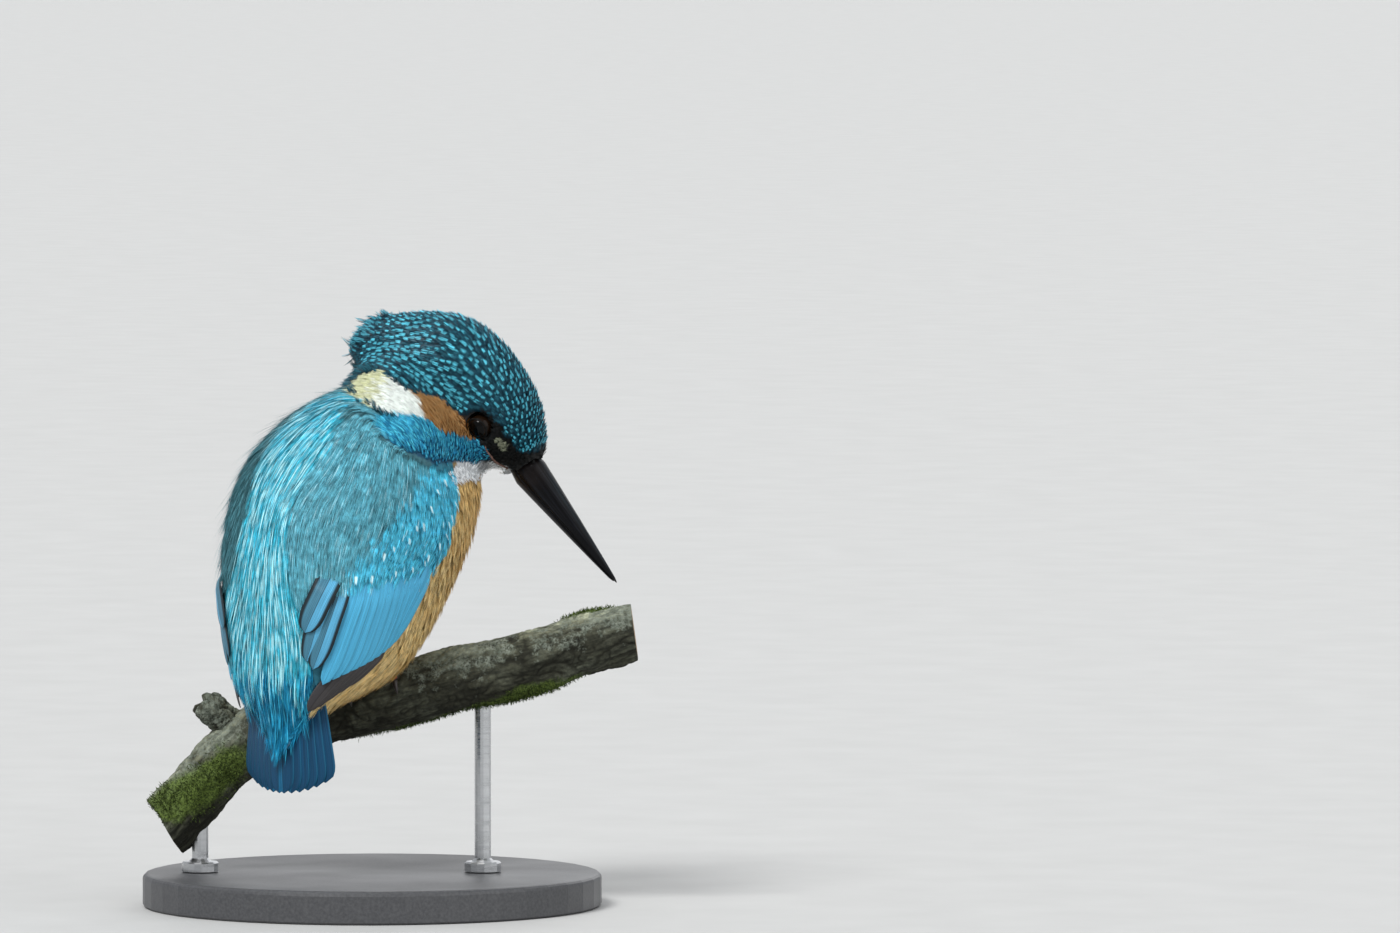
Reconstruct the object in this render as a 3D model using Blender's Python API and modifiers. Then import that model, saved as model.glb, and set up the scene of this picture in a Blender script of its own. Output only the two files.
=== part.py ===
"""A common kingfisher at life size, perched on a cut length of branch that a plain display stand holds.

The frame has +Z up and its origin at the centre of the base's underside, straight below the feet.
The body faces -Y, so the bird's right side is at -X. The head is turned to its right and looks down.
Lengths in the tables are millimetres, and each mesh is scaled to metres as it is made.
"""

import math

import bmesh
import bpy
import numpy as np
from mathutils import Matrix, Vector

MM = 0.001
GAP = 0.3  # clearance between pieces that meet

# The stand and the perch
BASE_RADIUS = 56.0
BASE_THICKNESS = 8.0
BASE_EDGE = 1.2
ROD_RADIUS = 2.0
ROD_COLLAR_RADIUS = 4.5
ROD_COLLAR_HEIGHT = 2.4
ROD_SINK = 4.0  # depth of a rod's end in the branch
RODS_ALONG = {"stand_rod_low": -42.0, "stand_rod_high": 27.0}
PERCH_HEIGHT = 58.0  # top of the branch between the feet
PERCH_RADIUS = 7.9
PERCH_TURN = math.radians(219.0)  # heading of the branch's rising end, from +X
PERCH_SIDES = 16
# Centre line of the branch: distance along its heading, height of the centre
PERCH_LINE = [
    (-50, 19.2), (-43, 27.0), (-34.5, 36.0), (-23, 43.5), (-6.5, 48.2),
    (14, 53.5), (31, 57.8), (48, 62.4), (64, 66.8),
]
PERCH_SWELL = [1.0, 0.97, 1.1, 1.04, 0.98, 1.0, 1.0, 0.95, 0.92]
STUB_ALONG = -29.5  # a snapped twig's stump beside the tail
STUB_LENGTH = 16.0
STUB_RADIUS = 3.6

# The trunk: its back and breast lines in the plane of symmetry (y, z above the perch's top)
BACK_LINE = [
    (2, 69.5), (18.6, 64.2), (32, 55), (39.5, 43.5), (42.2, 31),
    (42.2, 19), (41.2, 6.5), (39.4, -7), (36.6, -20),
]
BREAST_LINE = [
    (-19, 60), (-28.3, 50.5), (-30, 40), (-25.6, 28), (-17.2, 16),
    (-9, 5.5), (1.8, -3), (18, -7.6), (32, -15.4),
]
TRUNK_HALF_WIDTH = [15.5, 20.8, 23.4, 24, 23.4, 21.6, 18.6, 13.4, 6.6]
TRUNK_ROUNDNESS = 2.25  # superellipse exponent of its sections

# The head, in its own frame: forward along the bill from the feathers at its base, and up
HEAD_TOP = [
    (1, 4.4), (-5, 9.0), (-12, 13.0), (-21, 15.4),
    (-31, 15.4), (-41, 11.6), (-49.5, 1.8), (-57, -10.5),
]
HEAD_BOTTOM = [
    (0, -4.6), (-4, -6.4), (-9, -8.4), (-16, -11.2), (-24, -14.5),
    (-32, -17.5), (-42, -22), (-53, -23),
]
HEAD_HALF_WIDTH = [4.0, 7.4, 10.4, 12.6, 13.4, 12.8, 10.6, 5.5]
HEAD_TURN = math.radians(70.0)  # to the bird's right
HEAD_DROP = math.radians(50.2)
HEAD_ROLL = math.radians(24.0)  # crown over towards the bird's back
BILL_BASE = (-26.0, -29.7, 47.6)  # x, y, height above the perch's top

NECK_IN_HEAD = (-37, 0, -9)  # forward, left, up in the head's frame
NECK_IN_TRUNK = (3, 46)  # y, height above the perch's top
NECK_RADII = (14.0, 18.0)
HEAD_CUT = (-4.3, -13.8, 56.3)  # a point of the plane between head and neck
HEAD_CUT_FACING = (-0.40, -0.32, 0.86)
NECK_LENGTH = 7.0

BILL_LENGTH = 34.6
BILL_DROP = 0.45  # how far its axis lies below the head's
BILL_SUNK = 9.0  # how far the bill's root runs back under the face feathers
BILL_HALF_WIDTH = 3.9
BILL_HALF_DEPTH = 4.0
BILL_UNDERBITE = 0.8  # how much shorter the lower mandible is
BILL_BLUNTNESS = 0.28
EYE_RADIUS = 3.1
EYE_PLACE = (-15.0, 8.9, 4.3)  # forward, out, up in the head's frame

WING_FROM, WING_TO = 0.10, 0.915  # along the trunk
WING_TOP_ANGLE = [50, 37, 28, 23, 21, 21, 23, 30, 43]  # degrees round from the back's midline
WING_FOOT_ANGLE = [84, 103, 111, 113, 109, 99, 85, 70, 57]
WING_EDGE = 0.35  # half the thickness of its edges
WING_PROUD = 1.3
WING_SUNK = 1.2

TAIL_ROOT = (33.5, 4.0)  # y, height above the perch's top
TAIL_TIP = (32.6, -27.8)
TAIL_HALF_WIDTH = [7.0, 9.4, 12.3, 14.4, 15.0]
TAIL_THICKNESS = 2.0
TAIL_ARCH = 2.2

TOE_RADIUS = 1.15
CLAW_LENGTH = 3.2
FEET_ALONG = {"right": 7.0, "left": -5.0}  # places along the branch
# Each toe's lean along the branch, outward from the bird's middle, and its turn round it in degrees
TOES = {"inner": (-3.0, 74), "middle": (-0.6, 92), "outer": (1.7, 84), "hind": (-0.4, -62)}


def along(rows, share):
    """The value at a share from 0 to 1 of a smooth curve through evenly spaced rows."""
    rows = np.asarray(rows, float)
    last = len(rows) - 1
    place = share * last
    i = min(int(place), last - 1)
    f = place - i
    before, a, b, after = rows[max(i - 1, 0)], rows[i], rows[i + 1], rows[min(i + 2, last)]
    square, cube = 2 * before - 5 * a + 4 * b - after, 3 * a - before - 3 * b + after
    return 0.5 * (2 * a + (b - before) * f + square * f**2 + cube * f**3)


def superellipse(angle, exponent):
    """(cosine-like, sine-like) pair of a rounded-square section; an angle of 0 is its top."""
    c, s = math.cos(angle), math.sin(angle)
    return math.copysign(abs(c) ** (2 / exponent), c), math.copysign(abs(s) ** (2 / exponent), s)


def around(sides):
    """Even angles round a section."""
    return [2 * math.pi * k / sides for k in range(sides)]


def clear_scene():
    """Starts from nothing."""
    for obj in list(bpy.data.objects):
        bpy.data.objects.remove(obj)


def material(name, colour, roughness, metallic=0.0):
    made = bpy.data.materials.new(name)
    made.use_nodes = True
    shader = made.node_tree.nodes["Principled BSDF"]
    shader.inputs["Base Color"].default_value = (*colour, 1)
    shader.inputs["Roughness"].default_value = roughness
    shader.inputs["Metallic"].default_value = metallic
    made.diffuse_color = (*colour, 1)
    return made


def mesh_object(name, mesh, collection, look):
    obj = bpy.data.objects.new(name, mesh)
    collection.objects.link(obj)
    mesh.materials.clear()
    mesh.materials.append(look)
    return obj


def loft(name, rings, collection, look):
    """A closed skin over rings of the same number of points, given in millimetres, capped at both ends."""
    bm = bmesh.new()
    rows = [[bm.verts.new(Vector(point) * MM) for point in ring] for ring in rings]
    count = len(rows[0])
    for row, following in zip(rows, rows[1:]):
        for k in range(count):
            n = (k + 1) % count
            bm.faces.new((row[k], row[n], following[n]))
            bm.faces.new((row[k], following[n], following[k]))
    bm.faces.new(reversed(rows[0]))
    bm.faces.new(rows[-1])
    bmesh.ops.triangulate(bm, faces=[f for f in bm.faces if len(f.verts) > 4])
    bmesh.ops.recalc_face_normals(bm, faces=bm.faces)
    mesh = bpy.data.meshes.new(name)
    bm.to_mesh(mesh)
    bm.free()
    mesh.shade_smooth()
    return mesh_object(name, mesh, collection, look)


def applied(obj):
    """The object with its modifiers made part of its mesh."""
    graph = bpy.context.evaluated_depsgraph_get()
    mesh = bpy.data.meshes.new_from_object(obj.evaluated_get(graph))
    obj.modifiers.clear()
    obj.data = mesh
    return obj


def boolean(obj, other, operation):
    modifier = obj.modifiers.new(operation.title(), "BOOLEAN")
    modifier.operation = operation
    modifier.object = other
    modifier.solver = "EXACT"
    return applied(obj)


def carve(obj, cutters):
    """Takes the cutters out of the object and keeps them as hidden outlines."""
    for cutter in cutters:
        cutter.hide_render = True
        cutter.display_type = "WIRE"
        boolean(obj, cutter, "DIFFERENCE")


def merged(obj, others, voxel, smoothing, kept):
    """The object with the others melted into it: closed, even, and thinned to a share of its faces."""
    bm = bmesh.new()
    for piece in (obj, *others):
        bm.from_mesh(piece.data)
    bm.to_mesh(obj.data)
    bm.free()
    for piece in others:
        bpy.data.objects.remove(piece)
    remesh = obj.modifiers.new("Remesh", "REMESH")
    remesh.mode = "VOXEL"
    remesh.voxel_size = voxel * MM
    smooth = obj.modifiers.new("Smooth", "SMOOTH")
    smooth.iterations = smoothing
    smooth.factor = 0.5
    fewer = obj.modifiers.new("Decimate", "DECIMATE")
    fewer.ratio = kept
    return applied(obj)


def keep_side(obj, point, normal):
    """Cuts the object by a plane and keeps the side that the normal points to, closed."""
    bm = bmesh.new()
    bm.from_mesh(obj.data)
    everything = bm.verts[:] + bm.edges[:] + bm.faces[:]
    cut = bmesh.ops.bisect_plane(
        bm, geom=everything, plane_co=Vector(point) * MM, plane_no=Vector(normal), clear_inner=True
    )
    rim = [e for e in cut["geom_cut"] if isinstance(e, bmesh.types.BMEdge)]
    bmesh.ops.holes_fill(bm, edges=rim)
    bmesh.ops.triangulate(bm, faces=[f for f in bm.faces if len(f.verts) > 4])
    bmesh.ops.recalc_face_normals(bm, faces=bm.faces)
    bm.to_mesh(obj.data)
    bm.free()
    return obj


def drop_crumbs(obj):
    """Keeps only the largest of the separate bodies that cutting has left."""
    bm = bmesh.new()
    bm.from_mesh(obj.data)
    left, bodies = set(bm.faces), []
    while left:
        body, edge = set(), [left.pop()]
        while edge:
            face = edge.pop()
            body.add(face)
            neighbours = {other for e in face.edges for other in e.link_faces} & left
            left -= neighbours
            edge.extend(neighbours)
        bodies.append(body)
    bodies.sort(key=len)
    bmesh.ops.delete(bm, geom=[face for body in bodies[:-1] for face in body], context="FACES")
    bm.to_mesh(obj.data)
    bm.free()


def copy_of(obj, name, collection, look):
    return mesh_object(name, obj.data.copy(), collection, look)


# ---- Frames -------------------------------------------------------------------------------------


def head_frame():
    """From the head's frame (forward, left, up, in millimetres) to the bird's."""
    level = Vector((-math.sin(HEAD_TURN), -math.cos(HEAD_TURN), 0))
    forward = level * math.cos(HEAD_DROP) - Vector((0, 0, math.sin(HEAD_DROP)))
    left = Matrix.Rotation(HEAD_ROLL, 3, forward) @ Vector((0, 0, 1)).cross(forward).normalized()
    up = forward.cross(left)
    frame = Matrix((forward, left, up)).transposed().to_4x4()
    frame.translation = Vector(BILL_BASE) + Vector((0, 0, PERCH_HEIGHT))
    return frame


def perch_point(distance):
    """Centre of the branch at this distance along its heading from the feet, and its direction there."""
    line = np.array([along(PERCH_LINE, share) for share in np.linspace(0, 1, 200)])
    behind, here, ahead = np.interp([distance - 1, distance, distance + 1], line[:, 0], line[:, 1])
    heading = Vector((math.cos(PERCH_TURN), math.sin(PERCH_TURN), 0))
    direction = (heading * 2 + Vector((0, 0, ahead - behind))).normalized()
    return heading * distance + Vector((0, 0, here)), direction


def perch_section(distance):
    """Centre, direction, up and frontward vectors of the branch at a distance along it."""
    centre, direction = perch_point(distance)
    side = Vector((0, 0, 1)).cross(direction).normalized()
    return centre, direction, direction.cross(side).normalized(), side


# ---- The bird -----------------------------------------------------------------------------------


def trunk_point(share, angle, out=0.0):
    """A point of the trunk's surface, or proud of it: share runs from the neck to the vent, and the
    angle in radians goes round from the back's midline, positive to the bird's left."""
    back, breast = along(BACK_LINE, share), along(BREAST_LINE, share)
    middle, half = (back + breast) / 2, (back - breast) / 2
    deep, wide = superellipse(angle, TRUNK_ROUNDNESS)
    half_width = along(TRUNK_HALF_WIDTH, share)
    depth = np.linalg.norm(half)
    grow_deep, grow_wide = (depth + out) / depth, (half_width + out) / half_width
    y, z = middle + half * deep * grow_deep
    return Vector((half_width * wide * grow_wide, y, z + PERCH_HEIGHT))


def trunk_rings(stations=26, sides=36):
    return [[trunk_point(share, turn) for turn in around(sides)] for share in np.linspace(0, 1, stations)]


def head_point(share, angle):
    top, bottom = along(HEAD_TOP, share), along(HEAD_BOTTOM, share)
    forward, up = (top + bottom) / 2 + (top - bottom) / 2 * math.cos(angle)
    return Vector((forward, along(HEAD_HALF_WIDTH, share) * math.sin(angle), up))


def head_rings(stations=20, sides=28):
    frame = head_frame()
    shares = np.linspace(0, 1, stations)
    return [[frame @ head_point(share, turn) for turn in around(sides)] for share in shares]


def neck_rings(sides=28, stations=7):
    """Rounds that blend from inside the head to inside the shoulders."""
    frame = head_frame()
    start = frame @ Vector(NECK_IN_HEAD)
    end = Vector((0, NECK_IN_TRUNK[0], PERCH_HEIGHT + NECK_IN_TRUNK[1]))
    axis = (start - end).normalized()
    side = axis.cross(Vector((0.3, 1, 0))).normalized()
    across = side.cross(axis)
    rings = []
    for share in np.linspace(0, 1, stations):
        radius = NECK_RADII[0] + (NECK_RADII[1] - NECK_RADII[0]) * share
        centre = start.lerp(end, share)
        rings.append([centre + (side * math.sin(t) + across * math.cos(t)) * radius for t in around(sides)])
    return rings


def body_whole(collection, look):
    """Head, neck and trunk as one smooth form."""
    whole = loft("whole_body", trunk_rings(), collection, look)
    blanks = [loft("blank", rings, collection, look) for rings in (neck_rings(), head_rings())]
    return merged(whole, blanks, 1.3, smoothing=8, kept=0.05)


def wing_rings(side, pad=0.0, stations=15, across=6):
    """Sections of a folded wing that lies on the trunk, from the shoulder to the tip of the primaries."""
    rings = []
    for turn in np.linspace(0, math.pi, stations):
        share = (1 - math.cos(turn)) / 2
        swell = max(math.sin(turn), 0.12) ** 0.5
        place = WING_FROM - 0.014 * pad + (WING_TO - WING_FROM + 0.028 * pad) * share
        top, foot = along(WING_TOP_ANGLE, share), along(WING_FOOT_ANGLE, share)
        middle, half = (top + foot) / 2, (foot - top) / 2 * swell + 4.5 * pad
        outer, inner = [], []
        for u in np.linspace(-1, 1, across + 1):
            angle = side * math.radians(middle + half * u)
            thick = math.sqrt(1 - u * u) * swell
            outer.append(trunk_point(place, angle, WING_EDGE + pad + WING_PROUD * thick))
            inner.append(trunk_point(place, angle, -WING_EDGE - pad - WING_SUNK * thick))
        rings.append(outer + inner[::-1])
    return rings


def tail_rings(pad=0.0, stations=9, across=8):
    """Sections of the closed tail, arched across, from under the rump to its rounded end."""
    root, tip = Vector((0, *TAIL_ROOT)), Vector((0, *TAIL_TIP))
    down = (tip - root).normalized()
    root, tip = root - down * pad, tip + down * pad
    out = Vector((0, -down.z, down.y))
    length = (tip - root).length
    rings = []
    for turn in np.linspace(0, math.pi / 2, stations):
        share = math.sin(turn)
        half = along(TAIL_HALF_WIDTH, share) + pad
        outer, inner = [], []
        for u in np.linspace(-1, 1, across + 1):
            corner = 1 - 0.16 * abs(u) ** 3.2 * share
            place = root + down * length * share * corner + Vector((half * u, 0, PERCH_HEIGHT))
            place -= out * TAIL_ARCH * u * u
            thin = TAIL_THICKNESS / 2 * (1 - 0.45 * share) * (1 - 0.3 * u * u) + pad
            outer.append(place + out * thin)
            inner.append(place - out * thin)
        rings.append(outer + inner[::-1])
    return rings


def bill_frame():
    return head_frame() @ Matrix.Translation((0, 0, -BILL_DROP))


def bill_size(forward):
    """Share of its full girth the bill has at this distance forward of the feathers."""
    taper = max(1 - max(forward, 0) / BILL_LENGTH, 0.0) ** 0.92
    return taper * (1 + 0.45 * min(forward, 0) / BILL_SUNK)


def bill_rings(upper, stations=12, sides=8):
    """Sections of one mandible, from its root under the feathers to its tip; its flat side is the gape."""
    frame = bill_frame()
    sign = 1 if upper else -1
    tip = BILL_LENGTH if upper else BILL_LENGTH - BILL_UNDERBITE
    turns = [math.pi * k / sides for k in range(sides + 1)]
    rings = []
    for forward in np.linspace(-BILL_SUNK, tip, stations):
        half_width = BILL_HALF_WIDTH * bill_size(forward) + BILL_BLUNTNESS
        depth = BILL_HALF_DEPTH * bill_size(forward) + BILL_BLUNTNESS
        heights = [sign * (GAP / 2 + depth * math.sin(t) ** 0.85) for t in turns]
        section = [(half_width * math.cos(t), height) for t, height in zip(turns, heights)]
        rings.append([frame @ Vector((forward, *place)) for place in section])
    return rings


def bill_socket_rings(stations=8, sides=16):
    """The room both mandibles need in the head."""
    frame = bill_frame()
    room = BILL_BLUNTNESS + GAP
    rings = []
    for forward in np.linspace(-BILL_SUNK - GAP, 6, stations):
        size = bill_size(forward)
        half_width, depth = BILL_HALF_WIDTH * size + room, BILL_HALF_DEPTH * size + room + GAP / 2
        section = [superellipse(turn, 2.3) for turn in around(sides)]
        rings.append([frame @ Vector((forward, half_width * wide, depth * deep)) for wide, deep in section])
    return rings


def eye(name, side, collection, look, pad=0.0):
    forward, out, up = EYE_PLACE
    centre = head_frame() @ Vector((forward, side * out, up))
    radius = (EYE_RADIUS + pad) * MM
    bpy.ops.mesh.primitive_uv_sphere_add(segments=14, ring_count=8, radius=radius, location=centre * MM)
    ball = bpy.context.object
    ball.name = name
    ball.data.transform(ball.matrix_world)
    ball.matrix_world = Matrix.Identity(4)
    ball.data.shade_smooth()
    for holder in list(ball.users_collection):
        holder.objects.unlink(ball)
    collection.objects.link(ball)
    ball.data.materials.append(look)
    return ball


def tube(name, points, radii, collection, look, sides=6):
    """A round rod along points in millimetres, as a mesh with closed ends."""
    curve = bpy.data.curves.new(name, "CURVE")
    curve.dimensions = "3D"
    curve.bevel_depth = MM
    curve.bevel_resolution = max(0, sides // 2 - 2)
    curve.use_fill_caps = True
    spline = curve.splines.new("POLY")
    spline.points.add(len(points) - 1)
    for knot, point, radius in zip(spline.points, points, radii):
        knot.co = (*(Vector(point) * MM), 1)
        knot.radius = radius
    guide = bpy.data.objects.new(name + "_line", curve)
    collection.objects.link(guide)
    graph = bpy.context.evaluated_depsgraph_get()
    mesh = bpy.data.meshes.new_from_object(guide.evaluated_get(graph))
    bpy.data.objects.remove(guide)
    bm = bmesh.new()
    bm.from_mesh(mesh)
    bmesh.ops.remove_doubles(bm, verts=bm.verts, dist=0.02 * MM)
    bmesh.ops.recalc_face_normals(bm, faces=bm.faces)
    bm.to_mesh(mesh)
    bm.free()
    mesh.shade_smooth()
    return mesh_object(name, mesh, collection, look)


def toe_line(place, start, turn, lean, radius, steps=6):
    """Points that lie on the branch round from one angle to another, leaning along it as they go."""
    points = []
    for i in range(steps + 1):
        share = i / steps
        centre, _, up, side = perch_section(place + lean * share)
        angle = math.radians(start + (turn - start) * share)
        outward = up * math.cos(angle) + side * math.sin(angle)
        points.append(centre + outward * (PERCH_RADIUS + GAP + radius))
    return points


def toes_of(side_name):
    """The toes of one foot with their leans along the branch's heading, which mirror the other foot's."""
    outward = math.copysign(1, FEET_ALONG[side_name])
    return {toe: (lean * outward, turn) for toe, (lean, turn) in TOES.items()}


def foot_tubes(side_name):
    """The tubes of one foot as (points, radii): a short shank, three toes over the front of the branch
    and one down its back."""
    place = FEET_ALONG[side_name]
    pad, _, up, _ = perch_section(place)
    top = pad + up * (PERCH_RADIUS + GAP + 1.3)
    tubes = [([top, top + up * 3.5 + Vector((0, 0.8, 0)), top + Vector((0, 2.0, 8.0))], [1.5, 1.3, 1.5])]
    for lean, turn in toes_of(side_name).values():
        line = toe_line(place, 0, turn, lean, TOE_RADIUS)
        tubes.append((line, [TOE_RADIUS * (1 - 0.26 * i / (len(line) - 1)) for i in range(len(line))]))
    return tubes


def claw_tubes(side_name):
    """The claws of one foot by toe, each a hook that carries on the line of its toe."""
    place, tubes = FEET_ALONG[side_name], {}
    sweep = math.degrees(CLAW_LENGTH / (PERCH_RADIUS + 1))
    for toe, (lean, turn) in toes_of(side_name).items():
        sign = math.copysign(1, turn)
        line = toe_line(place + lean, turn + sign * 4.5, turn + sign * (4.5 + sweep), 0.0, 0.75, steps=3)
        tubes[toe] = (line, [0.62, 0.52, 0.36, 0.12])
    return tubes


def foot(side_name, collection, look):
    """One foot in one piece."""
    tubes = foot_tubes(side_name)
    whole = tube(f"foot_{side_name}", *tubes[0], collection, look)
    toes = [tube("toe", points, radii, collection, look) for points, radii in tubes[1:]]
    return merged(whole, toes, 0.3, smoothing=2, kept=0.034)


def padded_tubes(name, tubes, collection, look):
    """Cutters that leave clearance round tubes."""
    made = []
    for i, (points, radii) in enumerate(tubes):
        first = (points[0] - points[1]).normalized() * GAP
        last = (points[-1] - points[-2]).normalized() * GAP
        longer = [points[0] + first, *points[1:-1], points[-1] + last]
        made.append(tube(f"{name}_{i}_room", longer, [r + GAP for r in radii], collection, look))
    return made


# ---- Perch and stand ----------------------------------------------------------------------------


def perch_rings(pad=0.0, stations=22):
    """Sections of the branch: even under the feet, and a little knobbly away from them."""
    rings = []
    first, last = PERCH_LINE[0][0], PERCH_LINE[-1][0]
    for share in np.linspace(0, 1, stations):
        distance = first + (last - first) * share
        centre, _, up, side = perch_section(distance)
        radius = PERCH_RADIUS * float(along(PERCH_SWELL, share))
        even = min(1, max(0, abs(distance) - 11) / 12)
        ring = []
        for t in around(PERCH_SIDES):
            knobs = 0.04 * math.sin(3 * t + 0.11 * distance) + 0.025 * math.sin(5 * t - 0.23 * distance)
            size = PERCH_RADIUS + (radius * (1 + knobs) - PERCH_RADIUS) * even + pad
            ring.append(centre + (up * math.cos(t) + side * math.sin(t)) * size)
        rings.append(ring)
    return rings


def perch(collection, look):
    """The cut branch with the stump of a twig."""
    branch = loft("perch", perch_rings(), collection, look)
    centre, direction, up, side = perch_section(STUB_ALONG)
    lean = (up * 0.93 - direction * 0.25 - side * 0.1).normalized()
    root = centre + lean * (PERCH_RADIUS * 0.35)
    line = [root + lean * STUB_LENGTH * s for s in (0, 0.35, 0.7, 0.82)]
    radii = [STUB_RADIUS * swell for swell in (1.3, 1.1, 1.0, 0.85)]
    stub = tube("stub", line, radii, collection, look, sides=10)
    boolean(branch, stub, "UNION")
    bpy.data.objects.remove(stub)
    return branch


def turned(name, profile, centre, collection, look, steps=40):
    """A profile, (radius, height) from the top down its outer side, spun round a vertical axis."""
    bm = bmesh.new()
    points = [bm.verts.new(Vector((r, 0, z)) * MM) for r, z in profile]
    for a, b in zip(points, points[1:]):
        bm.edges.new((a, b))
    mesh = bpy.data.meshes.new(name)
    bm.to_mesh(mesh)
    bm.free()
    obj = mesh_object(name, mesh, collection, look)
    screw = obj.modifiers.new("Screw", "SCREW")
    screw.steps = screw.render_steps = steps
    screw.use_merge_vertices = True
    screw.merge_threshold = 0.00001
    applied(obj)
    obj.data.transform(Matrix.Translation(Vector((centre[0], centre[1], 0)) * MM))
    obj.data.shade_smooth()
    obj.data.set_sharp_from_angle(angle=math.radians(35))
    return obj


def rod_profile(distance, pad=0.0):
    """Radius and height of a rod with its collar, from the top down."""
    centre, _ = perch_point(distance)
    top = centre.z - PERCH_RADIUS + ROD_SINK + pad
    foot_z = BASE_THICKNESS + GAP
    collar = foot_z + ROD_COLLAR_HEIGHT
    thin, wide = ROD_RADIUS + pad, ROD_COLLAR_RADIUS + pad
    return centre, [
        (0, top), (thin - 0.4, top), (thin, top - 0.4), (thin, collar + 0.8), (thin + 0.8, collar),
        (wide - 0.4, collar), (wide, collar - 0.4), (wide, foot_z), (0, foot_z),
    ]


def stand(collection, base_look, rod_look):
    """The round base and the two rods that carry the branch."""
    inner, lower = BASE_RADIUS - BASE_EDGE, BASE_THICKNESS - BASE_EDGE
    profile = [(0, BASE_THICKNESS)]
    for angle in (90, 60, 30, 0):
        turn = math.radians(angle)
        profile.append((inner + BASE_EDGE * math.cos(turn), lower + BASE_EDGE * math.sin(turn)))
    profile += [(BASE_RADIUS, 0.5), (BASE_RADIUS - 0.5, 0), (0, 0)]
    turned("stand_base", profile, (0, 0), collection, base_look, steps=44)
    for name, distance in RODS_ALONG.items():
        centre, profile = rod_profile(distance)
        turned(name, profile, centre, collection, rod_look, steps=16)


# ---- Assembly -----------------------------------------------------------------------------------


def main():
    clear_scene()
    scene = bpy.context.scene
    model = bpy.data.collections.new("kingfisher")
    cutters = bpy.data.collections.new("cutters")
    scene.collection.children.link(model)
    scene.collection.children.link(cutters)
    cutters.hide_render = True

    crown = material("crown_feathers", (0.03, 0.16, 0.22), 0.5)
    nape = material("neck_feathers", (0.06, 0.30, 0.38), 0.55)
    back = material("body_feathers", (0.62, 0.28, 0.07), 0.65)
    wings = material("wing_feathers", (0.05, 0.32, 0.42), 0.5)
    tail_look = material("tail_feathers", (0.02, 0.14, 0.32), 0.5)
    horn = material("bill_horn", (0.012, 0.012, 0.016), 0.3)
    wet = material("eye", (0.01, 0.006, 0.004), 0.05)
    skin = material("foot_skin", (0.55, 0.10, 0.04), 0.5)
    claw_look = material("claw_horn", (0.03, 0.02, 0.02), 0.4)
    bark = material("bark", (0.10, 0.09, 0.06), 0.9)
    base_look = material("stand_base", (0.10, 0.10, 0.11), 0.45)
    rod_look = material("stand_rod", (0.55, 0.56, 0.58), 0.3, 1.0)

    branch = perch(model, bark)
    stand(model, base_look, rod_look)
    for name, distance in RODS_ALONG.items():
        centre, profile = rod_profile(distance, GAP)
        carve(branch, [turned(name + "_room", profile, centre, cutters, rod_look, steps=16)])

    whole = body_whole(cutters, back)
    whole.hide_render = True
    facing = Vector(HEAD_CUT_FACING).normalized()
    upper_cut = Vector(HEAD_CUT) + Vector((0, 0, PERCH_HEIGHT))
    lower_cut = upper_cut - facing * NECK_LENGTH
    half_gap = facing * GAP / 2
    head = keep_side(copy_of(whole, "head", model, crown), upper_cut + half_gap, facing)
    neck = keep_side(copy_of(whole, "neck", model, nape), upper_cut - half_gap, -facing)
    keep_side(neck, lower_cut + half_gap, facing)
    trunk = keep_side(copy_of(whole, "trunk", model, back), lower_cut - half_gap, -facing)

    loft("bill_upper", bill_rings(True), model, horn)
    loft("bill_lower", bill_rings(False), model, horn)
    carve(head, [loft("bill_room", bill_socket_rings(), cutters, horn)])
    for name, side in (("left", 1), ("right", -1)):
        eye(f"eye_{name}", side, model, wet)
        carve(head, [eye(f"eye_{name}_room", side, cutters, wet, GAP)])
        loft(f"wing_{name}", wing_rings(side), model, wings)
        for flesh in (trunk, neck, head):
            carve(flesh, [loft(f"wing_{name}_room", wing_rings(side, GAP), cutters, wings)])
        foot(name, model, skin)
        for toe, (points, radii) in claw_tubes(name).items():
            tube(f"claw_{name}_{toe}", points, radii, model, claw_look, sides=6)
        carve(trunk, padded_tubes(f"foot_{name}", foot_tubes(name), cutters, skin))
        carve(trunk, padded_tubes(f"claws_{name}", claw_tubes(name).values(), cutters, claw_look))
    loft("tail", tail_rings(), model, tail_look)
    carve(trunk, [loft("tail_room", tail_rings(GAP), cutters, tail_look)])
    carve(trunk, [loft("perch_room", perch_rings(GAP), cutters, bark)])
    for flesh in (head, neck, trunk):
        drop_crumbs(flesh)
    bpy.context.view_layer.update()


main()
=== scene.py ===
import math
import time

import bmesh
import bpy
import numpy as np
from mathutils import Matrix, Vector
from mathutils.bvhtree import BVHTree
from mathutils.kdtree import KDTree


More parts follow.
